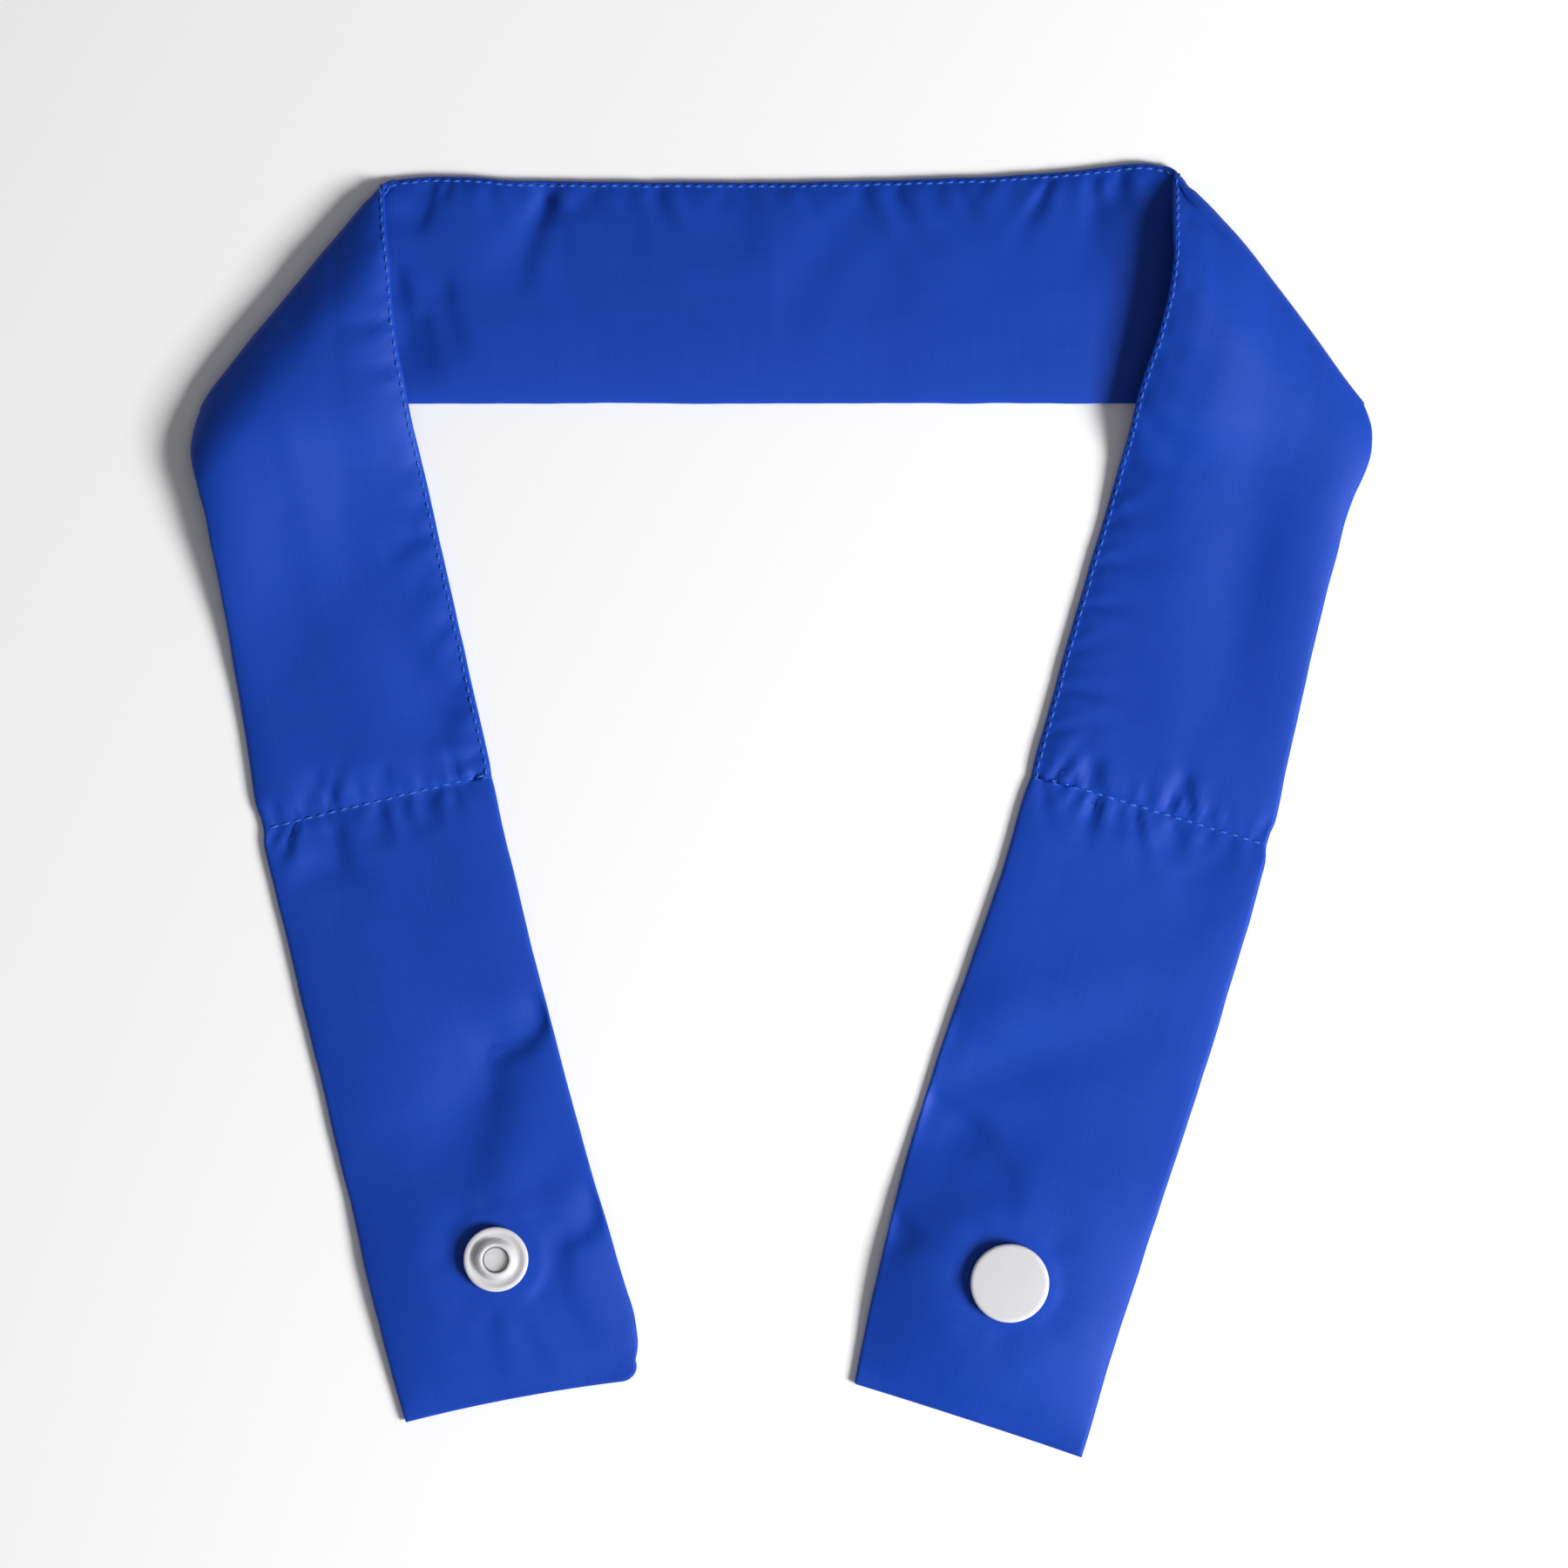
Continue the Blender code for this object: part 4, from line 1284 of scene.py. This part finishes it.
    def build(self, offset: Vector) -> bpy.types.Object:
        """Builds the band as one closed mesh.

        Args:
            offset: What moves the plan into the frame.

        Returns:
            The band.
        """
        face, lining, normals, cells = self.surfaces(offset)
        rows, columns = face.shape[:2]
        border = np.zeros((rows, columns), bool)
        border[0], border[-1], border[:, 0], border[:, -1] = True, True, True, True
        numbers = np.arange(rows * columns).reshape(rows, columns)
        inner = np.full((rows, columns), -1)
        inner[~border] = rows * columns + np.arange((~border).sum())
        under = np.where(border, numbers, inner)
        points = np.concatenate([face.reshape(-1, 3), lining[~border]])
        points[:, 2] = np.maximum(points[:, 2], 0.00002)
        faces = []
        for grid, turned in ((numbers, False), (under, True)):
            a, b, c, d = grid[:-1, :-1], grid[1:, :-1], grid[1:, 1:], grid[:-1, 1:]
            corners = (a, d, c, b) if turned else (a, b, c, d)
            faces.append(np.stack(corners, -1).reshape(-1, 4))
        mesh = bpy.data.meshes.new("band_cloth")
        mesh.from_pydata(points.tolist(), [], np.concatenate(faces).tolist())
        self.add_strip_map(mesh, cells, border)
        mesh.shade_smooth()
        mesh.materials.append(self.finish.made())
        piece = bpy.data.objects.new("band_cloth", mesh)
        bpy.context.scene.collection.objects.link(piece)
        self.points = {Layer.FACE: face, Layer.LINING: lining}
        self.normals, self.cells = normals, cells
        return piece

    def add_strip_map(self, mesh: bpy.types.Mesh, cells: list, border: np.ndarray) -> None:
        """Gives the mesh its places on the unfolded strip, and what its finish reads.

        Args:
            mesh: The band's mesh.
            cells: The grid's cells.
            border: Which points both layers share.
        """
        strip = np.array([[tuple(cell[2]) for cell in row] for row in cells])
        both = np.concatenate([strip.reshape(-1, 2), strip[~border] + (0.0, 0.2)])
        layer = mesh.uv_layers.new(name="strip")
        loops = np.zeros(len(mesh.loops), np.int32)
        mesh.loops.foreach_get("vertex_index", loops)
        layer.uv.foreach_set("vector", both[loops].astype(np.float32).ravel())
        gaps, runs, wear = [], [], []
        for row in cells:
            for _, _, place, half, portion, own, share in row:
                edge = (1 - share) * self.width
                gap, run = abs(edge - self.stitch_inset), abs(place.x)
                if portion is TAB:
                    gap = 1.0
                if portion is not BACK:
                    seam = abs(half.arm_length - own) if portion is ARM else abs(own)
                    if seam < gap:
                        gap, run = seam, share * self.width
                gaps.append(gap)
                runs.append(run)
                side = min(edge, share * self.width)
                wear.append(math.exp(-((side / 0.0007) ** 2)))
        shared = border.reshape(-1)
        for name, values in (("stitch_gap", gaps), ("stitch_run", runs), ("edge_wear", wear)):
            numbers = np.array(values, np.float32)
            attribute = mesh.attributes.new(name, "FLOAT", "POINT")
            attribute.data.foreach_set("value", np.concatenate([numbers, numbers[~shared]]))

    def seam_rows(self) -> tuple[int, int]:
        """The rows of the grid that the two cross seams lie on."""
        found = []
        for r, row in enumerate(self.cells):
            if row[0][4] is TAB and abs(row[0][5]) < 1e-9:
                found.append(r)
        return found[0], found[-1]

    def stitch_path(self, layer: Layer) -> tuple[np.ndarray, np.ndarray]:
        """The one row of stitches, across one arm, along the edge, and across the other.

        Args:
            layer: The layer that the stitches lie on.

        Returns:
            The points along it, and the way out of the cloth at each.
        """
        first, last = self.seam_rows()
        start, end = self.first_seam_column, self.seam_column
        steps = [(first, c) for c in range(start, end)]
        steps += [(r, end) for r in range(first, last + 1)]
        steps += [(last, c) for c in range(end - 1, start - 1, -1)]
        rows, columns = (np.array(axis) for axis in zip(*steps))
        out = self.normals[rows, columns] * layer.value
        return self.points[layer][rows, columns], out


@dataclass
class Stitching:
    """The lockstitch that shuts the band's edge and crosses both arms."""

    band: Band
    seam_pitch: float = 0.0019
    edge_pitch: float = 0.00166
    thread: float = 0.00036
    show: float = 0.74
    sides: int = 8
    rings: int = 7
    finish: Finish = TwistedThread("blue sewing thread", "cloth", (0.040, 0.150, 0.640), 0.60)

    def stitch(self, centre: Vector, along: Vector, out: Vector, length: float) -> tuple:
        """One stitch, a short run of thread that dips into the cloth at both ends.

        Args:
            centre: The middle of the stitch on the cloth.
            along: The way it runs.
            out: The way out of the cloth.
            length: How long it is.

        Returns:
            Its points, its faces, and its places on the thread.
        """
        side = along.cross(out).normalized()
        points, places = [], []
        for i in range(self.rings):
            share = i / (self.rings - 1)
            bulge = math.sin(math.pi * share)
            radius = self.thread / 2 * (0.35 + 0.65 * bulge**0.5)
            middle = centre + along * length * (share - 0.5)
            middle += out * (self.thread * (0.58 * bulge - 0.24))
            for j in range(self.sides):
                turn = 2 * math.pi * j / self.sides
                spread = side * math.cos(turn) + out * math.sin(turn) * 0.8
                points.append(middle + spread * radius)
                places.append((share * length, j / self.sides))
        faces = []
        for i in range(self.rings - 1):
            for j in range(self.sides):
                k = (j + 1) % self.sides
                low, high = i * self.sides, (i + 1) * self.sides
                faces.append((low + j, low + k, high + k, high + j))
        faces.append(tuple(reversed(range(self.sides))))
        faces.append(tuple(range((self.rings - 1) * self.sides, self.rings * self.sides)))
        return points, faces, places

    def places_along(self, run: np.ndarray) -> Iterable[tuple[float, float]]:
        """Where the stitches lie along their path, and how far apart they are there.

        Args:
            run: How far along the path each of its points lies.

        Returns:
            Each stitch's place with the pitch there.
        """
        across = self.band.columns - 1
        ends = (0.0, run[across], run[-1 - across], run[-1])
        pitches = (self.seam_pitch, self.edge_pitch, self.seam_pitch)
        for start, end, pitch in zip(ends, ends[1:], pitches):
            count = round((end - start) / pitch)
            for i in range(count):
                yield start + (i + 0.5) * (end - start) / count, pitch

    def build(self) -> bpy.types.Object:
        """Builds every stitch of both layers as one object."""
        points: list[Vector] = []
        faces: list[tuple[int, ...]] = []
        places: list[tuple[float, float]] = []
        dice = random.Random(5)
        for layer in Layer:
            path, outs = self.band.stitch_path(layer)
            steps = np.linalg.norm(np.diff(path, axis=0), axis=1)
            run = np.concatenate([[0.0], np.cumsum(steps)])
            for place, pitch in self.places_along(run):
                centre = Vector([np.interp(place, run, path[:, k]) for k in range(3)])
                before = Vector([np.interp(place - 0.0006, run, path[:, k]) for k in range(3)])
                after = Vector([np.interp(place + 0.0006, run, path[:, k]) for k in range(3)])
                out = Vector([np.interp(place, run, outs[:, k]) for k in range(3)]).normalized()
                along = (after - before).normalized()
                sway = along.cross(out) * dice.uniform(-0.00006, 0.00006)
                length = pitch * self.show * dice.uniform(0.94, 1.05)
                made = self.stitch(centre + sway, along, out, length)
                base = len(points)
                points += made[0]
                faces += [tuple(base + k for k in corners) for corners in made[1]]
                places += made[2]
        mesh = bpy.data.meshes.new("stitching")
        mesh.from_pydata(points, [], faces)
        layer_map = mesh.uv_layers.new(name="thread")
        loops = np.zeros(len(mesh.loops), np.int32)
        mesh.loops.foreach_get("vertex_index", loops)
        layer_map.uv.foreach_set("vector", np.array(places, np.float32)[loops].ravel())
        mesh.shade_smooth()
        mesh.materials.append(self.finish.made())
        piece = bpy.data.objects.new("stitching", mesh)
        bpy.context.scene.collection.objects.link(piece)
        return piece


class SnapFace(Enum):
    """The snap's four moulded pieces, by the node that each stands for."""

    SOCKET = "left_socket"
    BACKING_CAP = "left_cap"
    CAP = "right_cap"
    STUD = "right_stud"


def rounded(corner: tuple[float, float], radius: float, start: float, end: float) -> list:
    """Points round a corner of a turned profile.

    Args:
        corner: The middle of the rounding, as radius and height.
        radius: The rounding's radius.
        start: The angle that it starts at, in degrees from outward.
        end: The angle that it ends at.

    Returns:
        The points.
    """
    made = []
    for i in range(6):
        turn = math.radians(mix(start, end, i / 5))
        made.append((corner[0] + radius * math.cos(turn), corner[1] + radius * math.sin(turn)))
    return made


@dataclass
class PressSnap:
    """The press snap's moulded pieces, turned from their profiles."""

    cap_radius: float = 0.0062
    cap_thickness: float = 0.0016
    flange_radius: float = 0.0051
    flange_thickness: float = 0.0010
    rim_height: float = 0.0004
    rim_width: float = 0.0008
    well_radius: float = 0.0022
    well_wall: float = 0.0011
    well_slope: float = 0.0006
    well_depth: float = 0.0015
    knob_radius: float = 0.00205
    knob_wall: float = 0.0005
    knob_height: float = 0.0016
    post_radius: float = 0.0008
    post_hole: float = 0.0011
    head_clearance: float = 0.0003
    head_thickness: float = 0.0005
    through: float = 0.0018
    seat_gap: float = 0.0003
    steps: int = 96
    finish: Finish = MouldedPlastic("white snap plastic", "snap", (0.71, 0.71, 0.725), 0.33)

    def cap_profile(self, bore: float) -> list[tuple[float, float]]:
        """A cap with its shallow-domed face down, its post, and the head pressed out in a bore."""
        wide = bore - self.head_clearance
        reach = self.cap_thickness + self.through + self.flange_thickness + self.seat_gap
        edge = 0.00052
        head = 0.00018
        top = reach + self.head_thickness
        points = [(0.0, top - 0.00014), (wide * 0.45, top - 0.00009)]
        points += rounded((wide - head, top - head), head, 90, -60)
        points += [(self.post_radius + 0.0001, reach), (self.post_radius, reach - 0.0001)]
        points += [(self.post_radius, self.cap_thickness)]
        points += rounded((self.cap_radius - 0.0003, self.cap_thickness - 0.0003), 0.0003, 90, 0)
        points += rounded((self.cap_radius - edge, edge), edge, 0, -78)
        points += [(self.cap_radius - 0.00095, 0.00006), (self.cap_radius - 0.0014, 0.00003)]
        points += [(self.cap_radius * 0.4, 0.0), (0.0, 0.0)]
        return points

    def ring_profile(
        self, inner: float, wall: float, height: float, lip: float, slope: float
    ) -> list[tuple[float, float]]:
        """A flange with a raised ring round its post hole.

        Args:
            inner: The ring's inner radius.
            wall: How thick its wall is.
            height: How far it stands above the flange.
            lip: How far its mouth closes in.
            slope: How much thinner its wall is at its top, on the outside.

        Returns:
            The points, as one closed line round the section.
        """
        floor, top = self.flange_thickness, self.flange_thickness + height
        crest = inner + wall - slope
        corner = min((wall - slope) * 0.42, 0.00022)
        outer = inner + wall
        rim = self.flange_radius
        rim_top = floor + self.rim_height
        points = [(self.post_hole, 0.0), (self.post_hole, floor), (inner - 0.0001, floor)]
        points += [(inner, floor + 0.0001), (inner, top - 0.0007), (inner - lip, top - 0.0004)]
        points += rounded((inner - lip + corner, top - corner), corner, 180, 90)
        points += rounded((crest - corner, top - corner), corner, 90, 20 if slope else 0)
        points += rounded((outer + 0.0002, floor + 0.0002), 0.0002, 180, 270)
        points += [(rim - self.rim_width - 0.0004, floor)]
        points += [(rim - self.rim_width - 0.0001, floor + 0.00022)]
        points += rounded((rim - self.rim_width + 0.0002, rim_top - 0.0002), 0.0002, 120, 90)
        points += rounded((rim - 0.0003, rim_top - 0.0003), 0.0003, 90, 0)
        points += rounded((rim - 0.0002, 0.0002), 0.0002, 0, -90)
        return [*points, points[0]]

    def profiles(self) -> dict[SnapFace, list[tuple[float, float]]]:
        """Each piece's profile."""
        well = (self.well_radius, self.well_wall, self.well_depth)
        socket = self.ring_profile(*well, lip=0.00012, slope=self.well_slope)
        inner = self.knob_radius - self.knob_wall
        stud = self.ring_profile(inner, self.knob_wall, self.knob_height, lip=0.0, slope=0.0)
        return {
            SnapFace.SOCKET: socket,
            SnapFace.BACKING_CAP: self.cap_profile(self.well_radius),
            SnapFace.CAP: self.cap_profile(inner),
            SnapFace.STUD: stud,
        }

    def build(self) -> Iterable[tuple[SnapFace, bpy.types.Object]]:
        """Builds each piece where its node lies.

        Returns:
            The pieces, each with the node that it stands for.
        """
        material = self.finish.made()
        for face, profile in self.profiles().items():
            low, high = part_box(face.value)
            turned_over = face in (SnapFace.CAP, SnapFace.STUD)
            mesh = bpy.data.meshes.new(f"{face.value}_detail")
            points, faces = self.turned(profile)
            base = high[2] if turned_over else low[2]
            centre = ((low[0] + high[0]) / 2, (low[1] + high[1]) / 2)
            placed = []
            for x, y, z in points:
                if turned_over:
                    y, z = -y, -z
                placed.append((centre[0] + x, centre[1] + y, base + z))
            mesh.from_pydata(placed, [], faces)
            mesh.shade_smooth()
            mesh.set_sharp_from_angle(angle=math.radians(38))
            mesh.materials.append(material)
            piece = bpy.data.objects.new(f"{face.value}_detail", mesh)
            bpy.context.scene.collection.objects.link(piece)
            yield face, piece

    def turned(self, profile: list[tuple[float, float]]) -> tuple[list, list]:
        """Turns a profile about its axis, into one closed surface.

        Args:
            profile: The points as radius and height. They end on the axis or close on themselves.

        Returns:
            The points and the faces.
        """
        closed = profile[0] == profile[-1]
        line = profile[:-1] if closed else profile
        points: list[tuple[float, float, float]] = []
        rings: list[list[int]] = []
        for radius, height in line:
            if radius == 0.0:
                rings.append([len(points)] * self.steps)
                points.append((0.0, 0.0, height))
                continue
            rings.append(list(range(len(points), len(points) + self.steps)))
            for j in range(self.steps):
                turn = 2 * math.pi * j / self.steps
                points.append((radius * math.cos(turn), radius * math.sin(turn), height))
        faces = []
        pairs = list(zip(rings, rings[1:]))
        if closed:
            pairs.append((rings[-1], rings[0]))
        for upper, lower in pairs:
            for j in range(self.steps):
                k = (j + 1) % self.steps
                corners = (upper[j], lower[j], lower[k], upper[k])
                faces.append(tuple(dict.fromkeys(corners)))
        return points, faces


@dataclass
class Studio:
    """A pale floor, soft light from the lower right, and the camera straight above."""

    distance: float = 1.40
    lens: float = 203.64
    floor_side: float = 3.0
    floor_drop: float = 0.0003
    middle: tuple[float, float] = (0.00034, 0.00419)

    def build(self) -> None:
        """Builds the floor, the lights and the camera."""
        self.add_floor()
        self.add_light("key", (0.96, -0.49, 0.78), 0.50, 25.4)
        self.add_light("overhead", (0.10, -0.10, 1.20), 0.90, 1.3)
        world = bpy.data.worlds.new("soft room")
        world.use_nodes = True
        world.node_tree.nodes["Background"].inputs["Color"].default_value = (1.0, 1.0, 1.0, 1.0)
        world.node_tree.nodes["Background"].inputs["Strength"].default_value = 0.13
        bpy.context.scene.world = world
        bpy.context.scene.view_settings.view_transform = "Standard"
        self.add_camera()

    def add_floor(self) -> None:
        """Adds the floor that the wrap lies on."""
        half = self.floor_side / 2
        corners = [(-half, -half, 0.0), (half, -half, 0.0), (half, half, 0.0), (-half, half, 0.0)]
        mesh = bpy.data.meshes.new("floor")
        mesh.from_pydata(corners, [], [(0, 1, 2, 3)])
        mesh.materials.append(Finish("pale floor", "", (0.98, 0.98, 0.98), 0.95).made())
        floor = bpy.data.objects.new("floor", mesh)
        floor.location.z = -self.floor_drop
        bpy.context.scene.collection.objects.link(floor)
        floor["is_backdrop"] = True

    def add_light(
        self, name: str, place: tuple[float, float, float], size: float, power: float
    ) -> None:
        """Adds a square light that faces the wrap.

        Args:
            name: The light's name.
            place: Where it hangs.
            size: Its side.
            power: Its power, in watts.
        """
        data = bpy.data.lights.new(name, "AREA")
        data.size = size
        data.energy = power
        light = bpy.data.objects.new(name, data)
        light.location = place
        light.rotation_euler = (-Vector(place)).to_track_quat("-Z", "Y").to_euler()
        bpy.context.scene.collection.objects.link(light)

    def add_camera(self) -> None:
        """Adds the camera, looking straight down with the back section at the top."""
        data = bpy.data.cameras.new("camera")
        data.sensor_width = 36.0
        data.lens = data.sensor_width * self.distance / (IMAGE_SIDE * PIXEL)
        camera = bpy.data.objects.new("camera", data)
        camera.location = (*self.middle, self.distance)
        bpy.context.scene.collection.objects.link(camera)
        bpy.context.scene.camera = camera


def settle_in(piece: bpy.types.Object, slot: str, *nodes: str) -> None:
    """Makes a piece ride with the wrap, and hides the nodes that it replaces.

    Args:
        piece: The piece.
        slot: Not used; the material slot that its finish would be taken from.
        nodes: The nodes that it replaces.
    """
    if nodes:
        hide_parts(*nodes)
    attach(piece, "root")
    log.info("%s: %d faces", piece.name, len(piece.data.polygons))


def main() -> None:
    """Builds the wrap's pieces in order, and the studio round them."""
    logging.basicConfig(level=logging.INFO, format="%(message)s")
    band = Band()
    low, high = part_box(SnapFace.CAP.value)
    plan = band.snap_centre(band.right)
    offset = Vector(((low[0] + high[0]) / 2 - plan.x, (low[1] + high[1]) / 2 - plan.y))
    cloth = band.build(offset)
    settle_in(cloth, "cloth", "band")
    stitches = Stitching(band).build()
    settle_in(stitches, "cloth")
    for face, piece in PressSnap().build():
        settle_in(piece, "snap", face.value)
    length = 2 * band.fold_reach
    for half in (band.left, band.right):
        length += half.arm_length + half.tab_length
    Studio().build()
    boxes = {"cad": CAD_BOX, "visual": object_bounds()}
    plain = {name: [list(corner) for corner in box] for name, box in boxes.items()}
    log.info("boxes: %s", plain)


if __name__ == "__main__":
    main()
